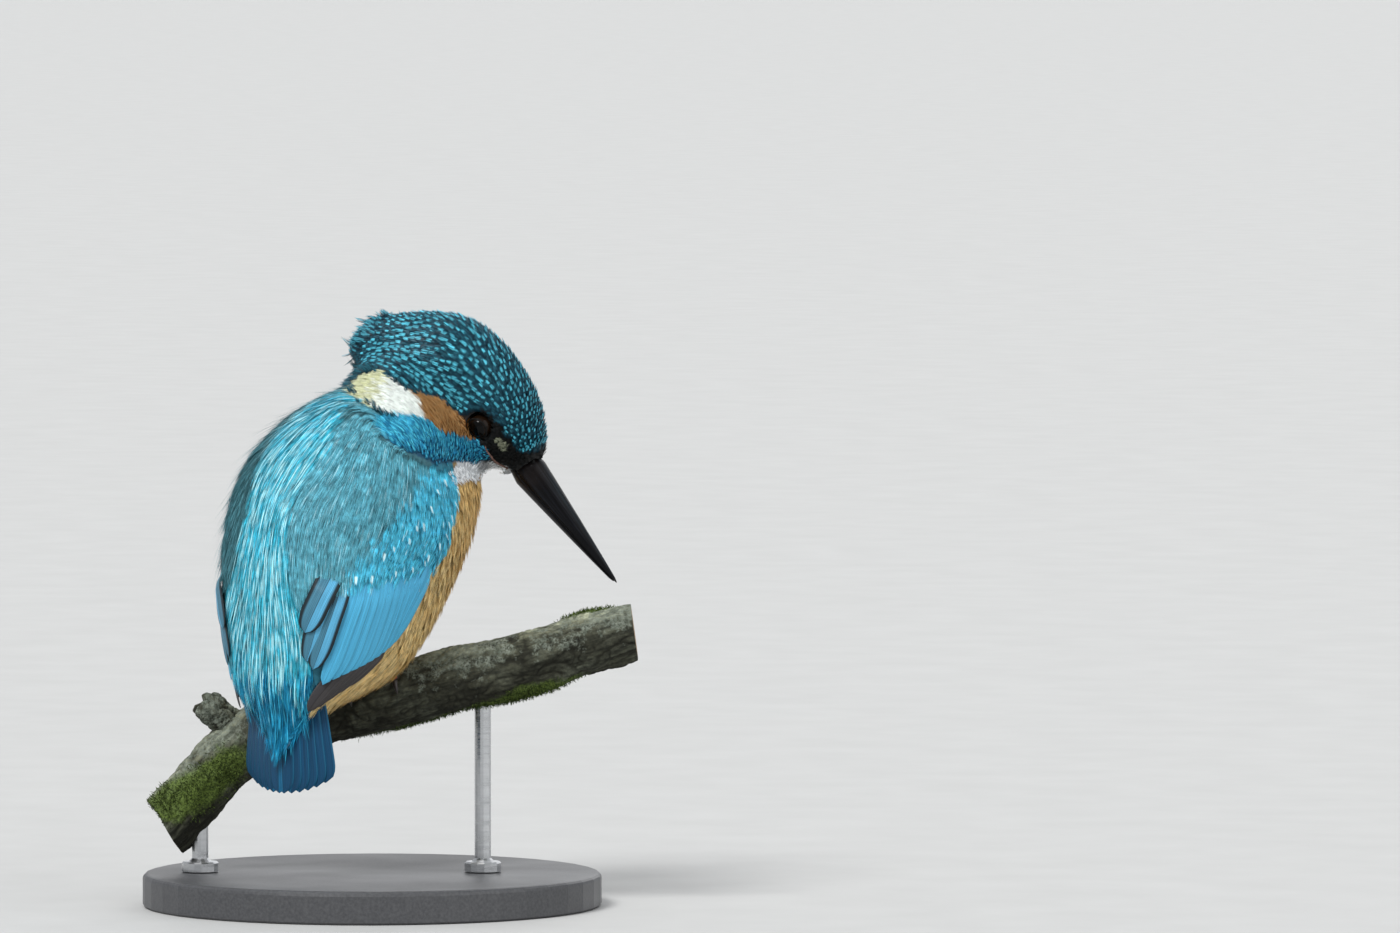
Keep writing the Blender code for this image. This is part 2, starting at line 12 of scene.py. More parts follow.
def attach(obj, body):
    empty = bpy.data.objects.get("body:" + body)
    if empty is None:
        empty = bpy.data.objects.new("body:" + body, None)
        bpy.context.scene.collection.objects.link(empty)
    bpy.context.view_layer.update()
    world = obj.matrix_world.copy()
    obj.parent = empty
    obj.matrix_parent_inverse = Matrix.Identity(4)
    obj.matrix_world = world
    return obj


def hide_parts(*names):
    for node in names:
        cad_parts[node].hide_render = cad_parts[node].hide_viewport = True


startTime = time.time()
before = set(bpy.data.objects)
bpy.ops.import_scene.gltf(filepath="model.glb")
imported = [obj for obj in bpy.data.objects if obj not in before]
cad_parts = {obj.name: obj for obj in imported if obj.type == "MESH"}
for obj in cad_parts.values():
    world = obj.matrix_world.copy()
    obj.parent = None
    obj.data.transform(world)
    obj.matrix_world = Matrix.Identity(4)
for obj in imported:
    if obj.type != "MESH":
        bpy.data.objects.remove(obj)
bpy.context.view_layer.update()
mm = 0.001
chance = np.random.default_rng(11)


def report(stage):
    print(f"{time.time() - startTime:6.1f} s  {stage}")


# The bird's own shape, in millimetres. Trunk rows run evenly from the neck to the vent.
birdShape = {
    "perchHeight": 58.0,
    "back": [(2, 69.5), (18.6, 64.2), (32, 55), (39.5, 43.5), (42.2, 31), (42.2, 19), (41.2, 6.5),
             (39.4, -7), (36.6, -20)],
    "breast": [(-19, 60), (-28.3, 50.5), (-30, 40), (-25.6, 28), (-17.2, 16), (-9, 5.5), (1.8, -3),
               (18, -7.6), (32, -15.4)],
    "halfWidth": [15.5, 20.8, 23.4, 24, 23.4, 21.6, 18.6, 13.4, 6.6],
    "roundness": 2.25,
    "headTurn": 70.0,
    "headDrop": 50.2,
    "headRoll": 24.0,
    "billBase": (-26.0, -29.7, 47.6),
    "headFlat": 12.0,  # how far out from its middle the top of the head runs before its side begins
    "eyeLine": 5.0,  # how far the eye's line lies above the bill's
    "collarPoint": (-4.3, -13.8, 56.3),
    "collarFacing": (-0.40, -0.32, 0.86),
}

# Where one kind of feather gives way to the next, in degrees round from the back, evenly along the trunk.
zoneRows = {
    "stripeRight": [14, 15.5, 20, 20, 14.8, 16, 21, 31, 41, 45, 47],
    "stripeLeft": [14, 18, 19, 14, 13, 18, 31, 43, 45, 46, 47],
    "wingEdge": [68, 84, 95, 102.5, 106.5, 97, 92, 90, 71, 58, 50],
    "lineTop": [15, 17, 20, 20, 14.8, 16, 21, 31, 40, 44, 47],
    "lineFoot": [66, 84, 96, 103, 106.5, 99, 93, 90, 72, 58, 52],
}
# Share along the trunk where the shoulder feathers and the coverts end, every 9 degrees from 20 to 110.
scapularEnd = [0.62, 0.62, 0.61, 0.58, 0.53, 0.45, 0.34, 0.23, 0.13, 0.06, 0.0]
covertEnd = [0.48, 0.49, 0.50, 0.51, 0.54, 0.56, 0.56, 0.53, 0.49, 0.45, 0.42]

# Marks on the head: corners as (forward, down the side from the eye line), millimetres.
headMarks = {
    "rust": [(-30, 10.9), (-28.4, 7.4), (-24.8, 3.2), (-21.5, 3.0), (-18.6, 1.9), (-16.9, 1.8),
             (-14.9, 2.6), (-12.6, 2.8), (-13.6, 4.2), (-15.5, 7.3), (-17.1, 10.6), (-20.4, 12.2),
             (-22.3, 13.0), (-26.8, 11.0)],
    "white": [(-43, 20.5), (-40.3, 14.7), (-35.2, 13.0), (-30, 10.9), (-26.8, 11.0), (-22.4, 13.4),
              (-23.3, 16.3), (-25.1, 19.2), (-28.4, 22.3), (-30.8, 25), (-34.9, 26.5), (-38.3, 27.7),
              (-42, 26.5)],
    "malar": [(-28.5, 26.7), (-27, 22.4), (-22.3, 13.2), (-20.4, 12.3), (-17.1, 10.7), (-15.5, 7.4),
              (-12.9, 3.4), (-9.2, 3.4), (-7.4, 4.8), (-8.5, 7.4), (-10.3, 10.0), (-10.5, 14.1),
              (-11.3, 19.8), (-13.7, 21.6), (-16.3, 24.5), (-19.1, 27.4), (-23.1, 28.4), (-26.9, 28.2)],
    "throat": [(-4.9, 19.5), (-7.6, 18), (-9.0, 14.5), (-9.6, 11), (-8.4, 7.2), (-4.5, 5.8), (1, 5.4),
               (1, 12), (-4.5, 10.8), (-6.4, 11.5), (-6.0, 15.5)],
    "mask": [(1, -1.0), (-2.7, -0.6), (-4.3, -0.2), (-6.4, -0.6), (-8.5, -1.9), (-11.4, -2.4), (-14, -3.4),
             (-16.8, -2.9), (-19.0, -0.3), (-17.2, 1.7), (-14.9, 2.6), (-12.6, 2.8), (-9.2, 3.4),
             (-7.4, 4.8), (-8.2, 6.6), (-4.5, 5.5), (1, 5.1)],
}
loralSpot = {"at": (-8.4, 0.35), "size": (2.0, 1.0), "tilt": 16}
crownSide = [(-52, 30), (-45, 18), (-40, 14.0), (-35, 12.2), (-30, 10.0), (-28.4, 6.8), (-24.8, 2.8),
             (-21.5, 2.4), (-18.6, -0.3), (-11.4, -2.4), (-6.4, -0.6), (2, -1.0)]

# Colours of the plumage: dark is the base of a feather, partly its own darker colour and partly painted
# shade where the feathers over it hide it, main most of it, and glint its bright mark.
plumageColours = {
    "crown": {"dark": (0.002, 0.010, 0.016), "main": (0.006, 0.044, 0.070), "glint": (0.11, 0.62, 0.80)},
    "nape": {"dark": (0.002, 0.010, 0.014), "main": (0.006, 0.040, 0.056), "glint": (0.025, 0.17, 0.23)},
    "mask": {"dark": (0.003, 0.004, 0.004), "main": (0.007, 0.008, 0.008), "glint": (0.02, 0.02, 0.02)},
    "loral": {"dark": (0.10, 0.11, 0.07), "main": (0.32, 0.34, 0.24), "glint": (0.42, 0.44, 0.32)},
    "rust": {"dark": (0.06, 0.022, 0.006), "main": (0.30, 0.13, 0.035), "glint": (0.50, 0.31, 0.13)},
    "white": {"dark": (0.36, 0.38, 0.30), "main": (0.80, 0.87, 0.82), "glint": (0.97, 0.98, 0.95)},
    "cream": {"dark": (0.16, 0.16, 0.06), "main": (0.56, 0.58, 0.31), "glint": (0.80, 0.82, 0.60)},
    "malar": {"dark": (0.002, 0.025, 0.060), "main": (0.018, 0.25, 0.47), "glint": (0.12, 0.80, 1.00)},
    "throat": {"dark": (0.88, 0.92, 0.95), "main": (0.95, 0.97, 0.98), "glint": (0.96, 0.97, 0.98)},
    # on the back and rump the glint is painted highlight on the glossy feathers
    "stripe": {"dark": (0.004, 0.09, 0.14), "main": (0.045, 0.50, 0.67), "glint": (0.52, 0.95, 1.00)},
    "rump": {"dark": (0.001, 0.04, 0.08), "main": (0.005, 0.20, 0.38), "glint": (0.05, 0.54, 0.82)},
    # shade: the shoulder's colours darkened, painted shade for the far shoulder and the shoulder by the neck
    "shade": {"dark": (0.006, 0.030, 0.038), "main": (0.055, 0.190, 0.225), "glint": (0.20, 0.55, 0.66)},
    "scapular": {"dark": (0.030, 0.110, 0.130), "main": (0.115, 0.43, 0.54), "glint": (0.50, 0.88, 0.97)},
    "covert": {"dark": (0.014, 0.14, 0.21), "main": (0.085, 0.58, 0.80), "glint": (0.72, 0.98, 1.00)},
    "breast": {"dark": (0.28, 0.17, 0.05), "main": (0.72, 0.48, 0.18), "glint": (0.86, 0.64, 0.30)},
    "belly": {"dark": (0.34, 0.23, 0.08), "main": (0.84, 0.62, 0.26), "glint": (0.93, 0.78, 0.46)},
}
kindNames = list(plumageColours)
kindNumber = {name: i for i, name in enumerate(kindNames)}

# Where colours change along the trunk, as shares of it, and how far the two at a border mix.
colourBorders = {"neckShade": 0.10, "farShade": 0.12, "breastEnd": 0.42, "rumpStart": 0.80, "ventStart": 0.9}
colourMixing = {"neckShade": 0.07, "breast": 0.09, "rump": 0.03, "shoulder": 0.025}


def alongRows(rows, share):
    # a smooth curve through evenly spaced rows, for many shares at once
    rows = np.asarray(rows, float)
    last = len(rows) - 1
    place = np.clip(np.asarray(share, float), 0, 1) * last
    i = np.minimum(place.astype(int), last - 1)
    f = place - i
    if rows.ndim > 1:
        f = f[..., None]
    before, a, b, after = rows[np.maximum(i - 1, 0)], rows[i], rows[i + 1], rows[np.minimum(i + 2, last)]
    square = 2 * before - 5 * a + 4 * b - after
    cube = 3 * a - before - 3 * b + after
    return 0.5 * (2 * a + (b - before) * f + square * f**2 + cube * f**3)


def smooth(low, high, value):
    t = np.clip((np.asarray(value, float) - low) / (high - low), 0, 1)
    return t * t * (3 - 2 * t)


def unit(vectors):
    return vectors / np.maximum(np.linalg.norm(vectors, axis=-1, keepdims=True), 1e-12)


def signedPower(value, power):
    return np.sign(value) * np.abs(value) ** power


def circle(sides):
    return np.linspace(0, 2 * math.pi, sides, endpoint=False)


def together(*parts):
    # quantities over one grid, side by side along a last axis
    return np.stack(np.broadcast_arrays(*parts), -1)


def inPolygon(corners, x, y):
    # signed distance: positive inside
    corners = np.asarray(corners, float)
    inside = np.zeros(len(x), bool)
    nearest = np.full(len(x), 1e9)
    for a, b in zip(corners, np.roll(corners, -1, axis=0)):
        crosses = (a[1] > y) != (b[1] > y)
        at = a[0] + (y - a[1]) * (b[0] - a[0]) / (b[1] - a[1] if b[1] != a[1] else 1e-9)
        inside ^= crosses & (x < at)
        edge = b - a
        t = np.clip(((x - a[0]) * edge[0] + (y - a[1]) * edge[1]) / (edge @ edge), 0, 1)
        nearest = np.minimum(nearest, np.hypot(x - a[0] - t * edge[0], y - a[1] - t * edge[1]))
    return np.where(inside, nearest, -nearest)


def headMatrix():
    turn, drop, roll = (math.radians(birdShape[k]) for k in ("headTurn", "headDrop", "headRoll"))
    level = Vector((-math.sin(turn), -math.cos(turn), 0))
    forward = level * math.cos(drop) - Vector((0, 0, math.sin(drop)))
    left = Matrix.Rotation(roll, 3, forward) @ Vector((0, 0, 1)).cross(forward).normalized()
    return np.array((forward, left, forward.cross(left)))


headAxes = headMatrix()  # rows are forward, left and up
headBase = np.array(birdShape["billBase"]) + (0, 0, birdShape["perchHeight"])


def headPlace(points):
    # metres to millimetres forward, left and up
    return (points / mm - headBase) @ headAxes.T


def fromHead(places):
    return (np.asarray(places, float) @ headAxes + headBase) * mm


def trunkLines(share):
    # the lines of the back and the breast, as (backward, up) in millimetres
    return alongRows(birdShape["back"], share), alongRows(birdShape["breast"], share)


def trunkPoint(share, angle, out=0.0):
    # a point on the trunk or proud of it; the angle goes round from the back, positive to the left
    share, angle = np.broadcast_arrays(np.asarray(share, float), np.asarray(angle, float))
    back, breast = trunkLines(share)
    middle, half = (back + breast) / 2, (back - breast) / 2
    power = 2 / birdShape["roundness"]
    deep, wide = signedPower(np.cos(angle), power), signedPower(np.sin(angle), power)
    halfWidth = alongRows(birdShape["halfWidth"], share)
    depth = np.linalg.norm(half, axis=-1)
    place = middle + half * (deep * (depth + out) / depth)[..., None]
    height = place[..., 1] + birdShape["perchHeight"]
    return np.stack([wide * (halfWidth + out), place[..., 0], height], -1) * mm


def trunkPlace(points):
    # share along the trunk and angle round it, for any point near it
    shares = np.linspace(0, 1, 161)
    back, breast = trunkLines(shares)
    across = breast - back
    found, angles = np.zeros(len(points)), np.zeros(len(points))
    chunk = 20000  # worked out so many at a time, to save memory
    for first in range(0, len(points), chunk):
        part = points[first:first + chunk] / mm
        y, z = part[:, 1:2], part[:, 2:3] - birdShape["perchHeight"]
        side = across[:, 0] * (z - back[:, 1]) - across[:, 1] * (y - back[:, 0])
        change = (side[:, :-1] >= 0) != (side[:, 1:] >= 0)
        nearerEnd = np.where(np.abs(side[:, 0]) < np.abs(side[:, -1]), 0, len(shares) - 2)
        i = np.where(change.any(1), change.argmax(1), nearerEnd)
        rows = np.arange(len(part))
        a, b = side[rows, i], side[rows, i + 1]
        f = np.clip(a / np.where(a == b, 1e-9, a - b), 0, 1)
        share = shares[i] * (1 - f) + shares[i + 1] * f
        top, foot = trunkLines(share)
        middle, half = (top + foot) / 2, (top - foot) / 2
        c = ((part[:, 1:] - (0, birdShape["perchHeight"]) - middle) * half).sum(1) / (half * half).sum(1)
        s = part[:, 0] / alongRows(birdShape["halfWidth"], share)
        power = birdShape["roundness"] / 2
        found[first:first + chunk] = share
        angles[first:first + chunk] = np.arctan2(signedPower(s, power), signedPower(c, power))
    return found, np.degrees(angles)


def collarHeight(points):
    facing = np.array(birdShape["collarFacing"])
    at = np.array(birdShape["collarPoint"]) + (0, 0, birdShape["perchHeight"])
    return (points / mm - at) @ facing / np.linalg.norm(facing)


def downSide(left, up):
    # how far down the side of the head and out along the shoulder, from the line of the eye
    return np.maximum(np.abs(left) - birdShape["headFlat"], 0) + birdShape["eyeLine"] - up


def headWeight(points):
    # 1 where feathers lie as the head's do, 0 where they lie as the body's do
    head = headPlace(points)
    down = downSide(head[:, 1], head[:, 2])
    marks = [inPolygon(headMarks[name], head[:, 0], down) for name in ("malar", "white")]
    return np.maximum(smooth(-3, 1.5, collarHeight(points)), smooth(-1.5, 0.5, np.maximum(*marks)))


def crownMargin(forward, down):
    # how far inside the crown's lower edge, in millimetres
    edge = np.array(crownSide, float)
    return np.interp(forward, edge[:, 0], edge[:, 1]) - down


def alongWing(ends, around):
    # one of the lists above that run from 20 to 110 degrees round the trunk
    return alongRows(ends, (around - 20) / 90)


def isKind(kinds, *names):
    return np.isin(kinds, [kindNumber[name] for name in names])


def kindsAt(points, ragged=0.0):
    # the kind of feather at each point, its border made ragged by a few tenths of a millimetre
    points = points + chance.normal(0, 1, points.shape) * ragged * mm
    share, angle = trunkPlace(points)
    head = headPlace(points)
    forward, left, up = head.T
    down = downSide(left, up)
    around = np.abs(angle)
    kinds = np.full(len(points), kindNumber["belly"])

    def put(name, where):
        kinds[where] = kindNumber[name]

    # colours that pass into one another meet in a band of both
    softly = chance.normal(0, 1, len(points)) * min(2 * ragged, 1)

    def mixed(border):
        return share + colourMixing[border] * softly

    put("breast", mixed("breast") < colourBorders["breastEnd"])
    onWing = around < alongRows(zoneRows["wingEdge"], share)
    put("covert", onWing)
    shoulder = onWing & (mixed("shoulder") < alongWing(scapularEnd, around))
    put("scapular", shoulder)
    # painted shade: the far shoulder, and the shoulder next to the neck, take the darker shade colours
    put("shade", shoulder & (angle > 0) & (share > colourBorders["farShade"]))
    put("shade", shoulder & (mixed("neckShade") < colourBorders["neckShade"]))
    stripeRight, stripeLeft = (alongRows(zoneRows[name], share) for name in ("stripeRight", "stripeLeft"))
    onStripe = around < np.where(angle < 0, stripeRight, stripeLeft)
    put("stripe", onStripe)
    put("rump", onStripe & (mixed("rump") > colourBorders["rumpStart"]))
    put("belly", (share > colourBorders["ventStart"]) & (around > 75))

    height = collarHeight(points)
    put("throat", (height > -2.0) & (angle < -100))  # under the turned head
    inHead = height > 0
    put("nape", inHead)
    put("mask", inHead & (forward > -20))
    put("crown", inHead & (crownMargin(forward, down) > 0))
    put("throat", inHead & (up < -4) & (np.abs(left) < 11) & (forward > -24))
    for name in ("rust", "white", "malar", "throat", "mask"):
        put(name, inPolygon(headMarks[name], forward, down) > -0.3)
    put("cream", isKind(kinds, "white") & (forward - 0.55 * (down - 14) + 4.5 * softly < -38))
    tilt = math.radians(loralSpot["tilt"])
    f, d = forward - loralSpot["at"][0], down - loralSpot["at"][1]
    a = (f * math.cos(tilt) + d * math.sin(tilt)) / loralSpot["size"][0]
    b = (d * math.cos(tilt) - f * math.sin(tilt)) / loralSpot["size"][1]
    put("loral", inHead & (a**2 + b**2 < 1))
    return kinds


def lieAt(points, normals):
    # the way feathers lie: along lines that fan from the shoulder and close at the tail, back on the head
    share, angle = trunkPlace(points)
    step = 0.02
    ahead = np.clip(share + step, 0, 1)
    behind = ahead - step
    sign, around = np.sign(angle), np.abs(angle)
    topHere, footHere = (alongRows(zoneRows[name], behind) for name in ("lineTop", "lineFoot"))
    topNext, footNext = (alongRows(zoneRows[name], ahead) for name in ("lineTop", "lineFoot"))
    u = (around - topHere) / (footHere - topHere)
    inside = topNext + (footNext - topNext) * u
    stripe = topNext * around / np.maximum(topHere, 1)
    below = around + (footNext - footHere) * (180 - around) / np.maximum(180 - footHere, 1)
    following = np.where(around < topHere, stripe, np.where(around > footHere, below, inside))
    mostTurn = 9  # degrees a step
    turn = np.clip(following - around, -mostTurn, mostTurn)
    start = trunkPoint(behind, np.radians(angle))
    end = trunkPoint(ahead, np.radians(angle + sign * turn))
    body = unit(end - start)
    head = headPlace(points)
    back = np.tile((-1.0, 0.0, 0.0), (len(points), 1))
    onSide = smooth(-6, -20, head[:, 0]) * smooth(2, 14, np.abs(head[:, 1]))
    back[:, 1] += np.sign(head[:, 1]) * 0.25 * onSide
    back[:, 2] -= 0.30 * onSide + 1.5 * smooth(-25, -46, head[:, 0])  # down over the nape
    weight = headWeight(points)[:, None]
    lie = unit(back @ headAxes) * weight + body * (1 - weight)
    lie -= normals * (lie * normals).sum(1, keepdims=True)
    return unit(lie)


class Signal:
    # one output of a node, which adds up and multiplies as a number does
    def __init__(self, finish, socket):
        self.finish = finish
        self.socket = socket

    def work(self, operation, first, second):
        return self.finish.add("ShaderNodeMath", {"operation": operation}, {0: first, 1: second})

    def __add__(self, other):
        return self.work("ADD", self, other)

    def __radd__(self, other):
        return self.work("ADD", other, self)

    def __sub__(self, other):
        return self.work("SUBTRACT", self, other)

    def __rsub__(self, other):
        return self.work("SUBTRACT", other, self)

    def __mul__(self, other):
        return self.work("MULTIPLY", self, other)

    def __rmul__(self, other):
        return self.work("MULTIPLY", other, self)

    def __abs__(self):
        return self.work("ABSOLUTE", self, 0.0)


class Finish:
    # one material, built up node by node
    def __init__(self, name, colour=(0.5, 0.5, 0.5), roughness=0.5, **constants):
        self.material = bpy.data.materials.new(name)
        self.material.use_nodes = True
        self.tree = self.material.node_tree
        self.shader = self.tree.nodes["Principled BSDF"]
        self.shader.inputs["Base Color"].default_value = (*colour, 1)
        self.shader.inputs["Roughness"].default_value = roughness
        for key, value in constants.items():
            self.shader.inputs[key.replace("_", " ")].default_value = value
        self.material.diffuse_color = (*colour, 1)

    def add(self, kind, settings, sockets, out=0):
        node = self.tree.nodes.new(kind)
        for key, value in settings.items():
            if key == "stops":
                while len(node.color_ramp.elements) < len(value):
                    node.color_ramp.elements.new(0.5)
                for element, (place, colour) in zip(node.color_ramp.elements, value):
                    element.position = place
                    element.color = (*(colour if isinstance(colour, tuple) else (colour,) * 3), 1)
            else:
                setattr(node, key, value)
        for key, value in sockets.items():
            self.plug(node.inputs[key], value)
        return Signal(self, node.outputs[out])

    def plug(self, socket, value):
        if isinstance(value, Signal):
            self.tree.links.new(value.socket, socket)
        elif isinstance(value, tuple) and len(value) == 3 and socket.type == "RGBA":
            socket.default_value = (*value, 1)
        else:
            socket.default_value = value

    def attribute(self, name, out="Color"):
        return self.add("ShaderNodeAttribute", {"attribute_name": name}, {}, out)

    def place(self):
        return self.add("ShaderNodeTexCoord", {}, {}, "Object")

    def parts(self, vector):
        node = self.tree.nodes.new("ShaderNodeSeparateXYZ")
        self.plug(node.inputs[0], vector)
        return [Signal(self, output) for output in node.outputs]

    def scaled(self, vector, scale):
        return self.add("ShaderNodeVectorMath", {"operation": "MULTIPLY"}, {0: vector, 1: scale}, "Vector")

    def noise(self, vector, scale, detail=3.0, rough=0.55):
        sockets = {"Vector": vector, "Scale": scale, "Detail": detail, "Roughness": rough}
        return self.add("ShaderNodeTexNoise", {}, sockets, "Fac")

    def bands(self, vector, scale, distortion, detail):
        settings = {"wave_type": "BANDS", "bands_direction": "X"}
        sockets = {"Vector": vector, "Scale": scale, "Distortion": distortion, "Detail": detail}
        return self.add("ShaderNodeTexWave", settings, sockets, "Fac")

    def between(self, value, low, high):
        # 0 below low, 1 above high, smooth between
        settings = {"interpolation_type": "SMOOTHSTEP"}
        return self.add("ShaderNodeMapRange", settings, {"Value": value, "From Min": low, "From Max": high})

    def mix(self, share, first, second, how="MIX"):
        node = self.tree.nodes.new("ShaderNodeMix")
        node.data_type = "RGBA"
        node.blend_type = how
        self.plug(node.inputs[0], share)
        self.plug(node.inputs[6], first)
        self.plug(node.inputs[7], second)
        return Signal(self, node.outputs[2])

    def times(self, first, second):
        return self.mix(1.0, first, second, "MULTIPLY")

    def ramp(self, value, stops):
        return self.add("ShaderNodeValToRGB", {"stops": stops}, {"Fac": value}, "Color")

    def use(self, **sockets):
        for key, value in sockets.items():
            self.plug(self.shader.inputs[key.replace("_", " ")], value)
        return self

    def bump(self, height, strength, distance):
        sockets = {"Height": height, "Strength": strength, "Distance": distance}
        self.plug(self.shader.inputs["Normal"], self.add("ShaderNodeBump", {}, sockets, "Normal"))
        return self


def speckled(name, colour, roughness, scale, tones, raised=None, **constants):
    # a finish of two tones in fine specks, which stand up where raised gives a strength and a height
    finish = Finish(name, colour, roughness, **constants)
    speck = finish.noise(finish.place(), scale)
    finish.use(Base_Color=finish.ramp(speck, tones))
    if raised:
        finish.bump(speck, *raised)
    return finish


def addObject(name, data):
    made = bpy.data.objects.new(name, data)
    bpy.context.scene.collection.objects.link(made)
    return made


def meshFrom(name, points, faces, finish, attributes=None, corners=None, isSmooth=True):
    # faces is a list of (count, 3) or (count, 4) index arrays; attributes are vectors or colours for each
    # point, and corners are UVs for each point
    mesh = bpy.data.meshes.new(name)
    sizes = np.concatenate([np.full(len(f), f.shape[1], np.int32) for f in faces])
    loops = np.concatenate([f.ravel() for f in faces]).astype(np.int32)
    mesh.vertices.add(len(points))
    mesh.vertices.foreach_set("co", np.asarray(points, np.float32).ravel())
    mesh.loops.add(len(loops))
    mesh.loops.foreach_set("vertex_index", loops)
    mesh.polygons.add(len(sizes))
    mesh.polygons.foreach_set("loop_start", np.concatenate([[0], np.cumsum(sizes)[:-1]]).astype(np.int32))
    mesh.polygons.foreach_set("loop_total", sizes)
    mesh.polygons.foreach_set("use_smooth", np.full(len(sizes), isSmooth))
    mesh.update(calc_edges=True)
    for key, values in (attributes or {}).items():
        values = np.asarray(values, np.float32)
        kind, field = ("FLOAT_COLOR", "color") if values.shape[-1] == 4 else ("FLOAT_VECTOR", "vector")
        mesh.attributes.new(key, kind, "POINT").data.foreach_set(field, values.ravel())
    if corners is not None:
        layer = mesh.uv_layers.new(name="OFBake")
        layer.data.foreach_set("uv", np.asarray(corners, np.float32)[loops].ravel())
    mesh.materials.append(finish.material)
    return addObject(name, mesh)


def gridShell(grid, caps=True):
    # points and faces over a grid of points (rows, columns, 3), closed across its columns
    rows, columns = grid.shape[:2]
    points = grid.reshape(-1, 3)
    a = np.arange(rows - 1)[:, None] * columns
    b = np.arange(columns)
    after = (b + 1) % columns
    faces = [np.stack([a + b, a + after, a + columns + after, a + columns + b], -1).reshape(-1, 4)]
    if caps:  # a fan over each end
        points = np.vstack([points, grid[0].mean(0), grid[-1].mean(0)])
        last, middle = (rows - 1) * columns, np.full(columns, rows * columns)
        faces.append(np.stack([after, b, middle], -1))
        faces.append(np.stack([last + b, last + after, middle + 1], -1))
    return points, faces


def gridMesh(name, grid, finish, caps=True, attributes=None):
    points, faces = gridShell(grid, caps)
    values = {}
    for key, given in (attributes or {}).items():
        flat = given.reshape(-1, given.shape[-1])
        values[key] = np.vstack([flat, given[0, 0], given[-1, 0]]) if caps else flat
    return meshFrom(name, points, faces, finish, values)


def joined(shells):
    # several shells as one
    points, faces, count = [], [], 0
    for shellPoints, shellFaces in shells:
        points.append(shellPoints)
        faces += [f + count for f in shellFaces]
        count += len(shellPoints)
    return np.vstack(points), faces


def tubeGrid(line, radii, sides):
    # rings round a line of points, without twist
    line, radii = np.asarray(line, float), np.asarray(radii, float)
    ahead = unit(np.gradient(line, axis=0))
    side = np.cross(ahead[0], (0.3, 0.5, 0.8))
    turn, rings = circle(sides)[:, None], []
    for point, way, radius in zip(line, ahead, radii):
        side = unit(side - way * (side @ way))
        rings.append(point + radius * (side * np.cos(turn) + np.cross(way, side) * np.sin(turn)))
    return np.array(rings)


def curveThrough(points, count):
    return alongRows(points, np.linspace(0, 1, count))


def dress(obj, slot, *nodes):
    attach(obj, "root")
    if nodes:
        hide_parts(*nodes)


studioLamps = [  # towards the right, up and the camera; degrees wide; strength
    ("keyLight", (-0.45, 1.0, 0.70), 24, 2.6),
    ("fillLight", (0.90, 0.45, 0.60), 60, 0.8),
    ("backLight", (0.20, 0.60, -0.90), 50, 0.5),
]
viewSettings = {
    "azimuth": 219.0,  # degrees round from in front
    "elevation": 3.0,
    "distance": 3.0,
    "width": 0.34146,  # metres across the picture at the bird
    "aim": (0.0800, 0.0491),  # metres right of and above the feet
    "sensor": 36,
    "clip": (0.05, 200),
}


def makeStudio():
    turn, lift = math.radians(viewSettings["azimuth"]), math.radians(viewSettings["elevation"])
    level = Vector((-math.sin(turn), math.cos(turn), 0))
    look = level * math.cos(lift) - Vector((0, 0, math.sin(lift)))
    right = look.cross(Vector((0, 0, 1))).normalized()
    up = right.cross(look)
    feet = Vector((0, 0, birdShape["perchHeight"] * mm))
    aim = feet + right * viewSettings["aim"][0] + up * viewSettings["aim"][1]
    camera = addObject("camera", bpy.data.cameras.new("camera"))
    camera.location = aim - look * viewSettings["distance"]
    camera.rotation_euler = look.to_track_quat("-Z", "Y").to_euler()
    camera.data.sensor_width = viewSettings["sensor"]
    camera.data.lens = viewSettings["sensor"] * viewSettings["distance"] / viewSettings["width"]
    camera.data.clip_start, camera.data.clip_end = viewSettings["clip"]
    bpy.context.scene.camera = camera
    bpy.context.scene.view_settings.view_transform = "Standard"

    floorFinish = speckled("paleFloor", (0.50, 0.50, 0.49), 0.75, 40.0,
                           [(0.3, (0.50, 0.50, 0.49)), (0.7, (0.53, 0.53, 0.52))])
    sides, floorHeight = 48, -0.0001
    turns = circle(sides)
    rings = [together(r * np.cos(turns), r * np.sin(turns), floorHeight) for r in (40, 10, 2, 0.3)]
    floor = gridMesh("floor", np.array(rings), floorFinish, caps=False)
    fan = np.stack([np.arange(sides), (np.arange(sides) + 1) % sides, np.full(sides, sides)], -1)
    middle = meshFrom("floorMiddle", np.vstack([rings[-1], (0, 0, floorHeight)]), [fan], floorFinish)

    world = bpy.data.worlds.new("studio")
    bpy.context.scene.world = world
    world.use_nodes = True
    world.node_tree.nodes["Background"].inputs["Color"].default_value = (0.93, 0.96, 1.0, 1)
    world.node_tree.nodes["Background"].inputs["Strength"].default_value = 0.55
    for name, (x, y, z), width, power in studioLamps:
        lamp = addObject(name, bpy.data.lights.new(name, "SUN"))
        lamp.data.angle = math.radians(width)
        lamp.data.energy = power
        towards = right * x + Vector((0, 0, y)) - level * z
        lamp.location = towards.normalized()
        lamp.rotation_euler = (-towards).to_track_quat("-Z", "Y").to_euler()


skinSettings = {
    "voxel": 0.9,
    "smoothing": 10,
    "depth": 1.2,  # millimetres below the outline of the feathers
    "faceDepth": 0.55,  # the same on the face, where they are short
    "gapeDepth": 1.1,  # how much deeper it lies below the corner of the bill
    "slimming": 0.45,  # share of its girth that the vent loses behind the tail
}


def featherColour(kinds, which):
    table = np.array([plumageColours[name][which] for name in kindNames])
    return table[kinds]


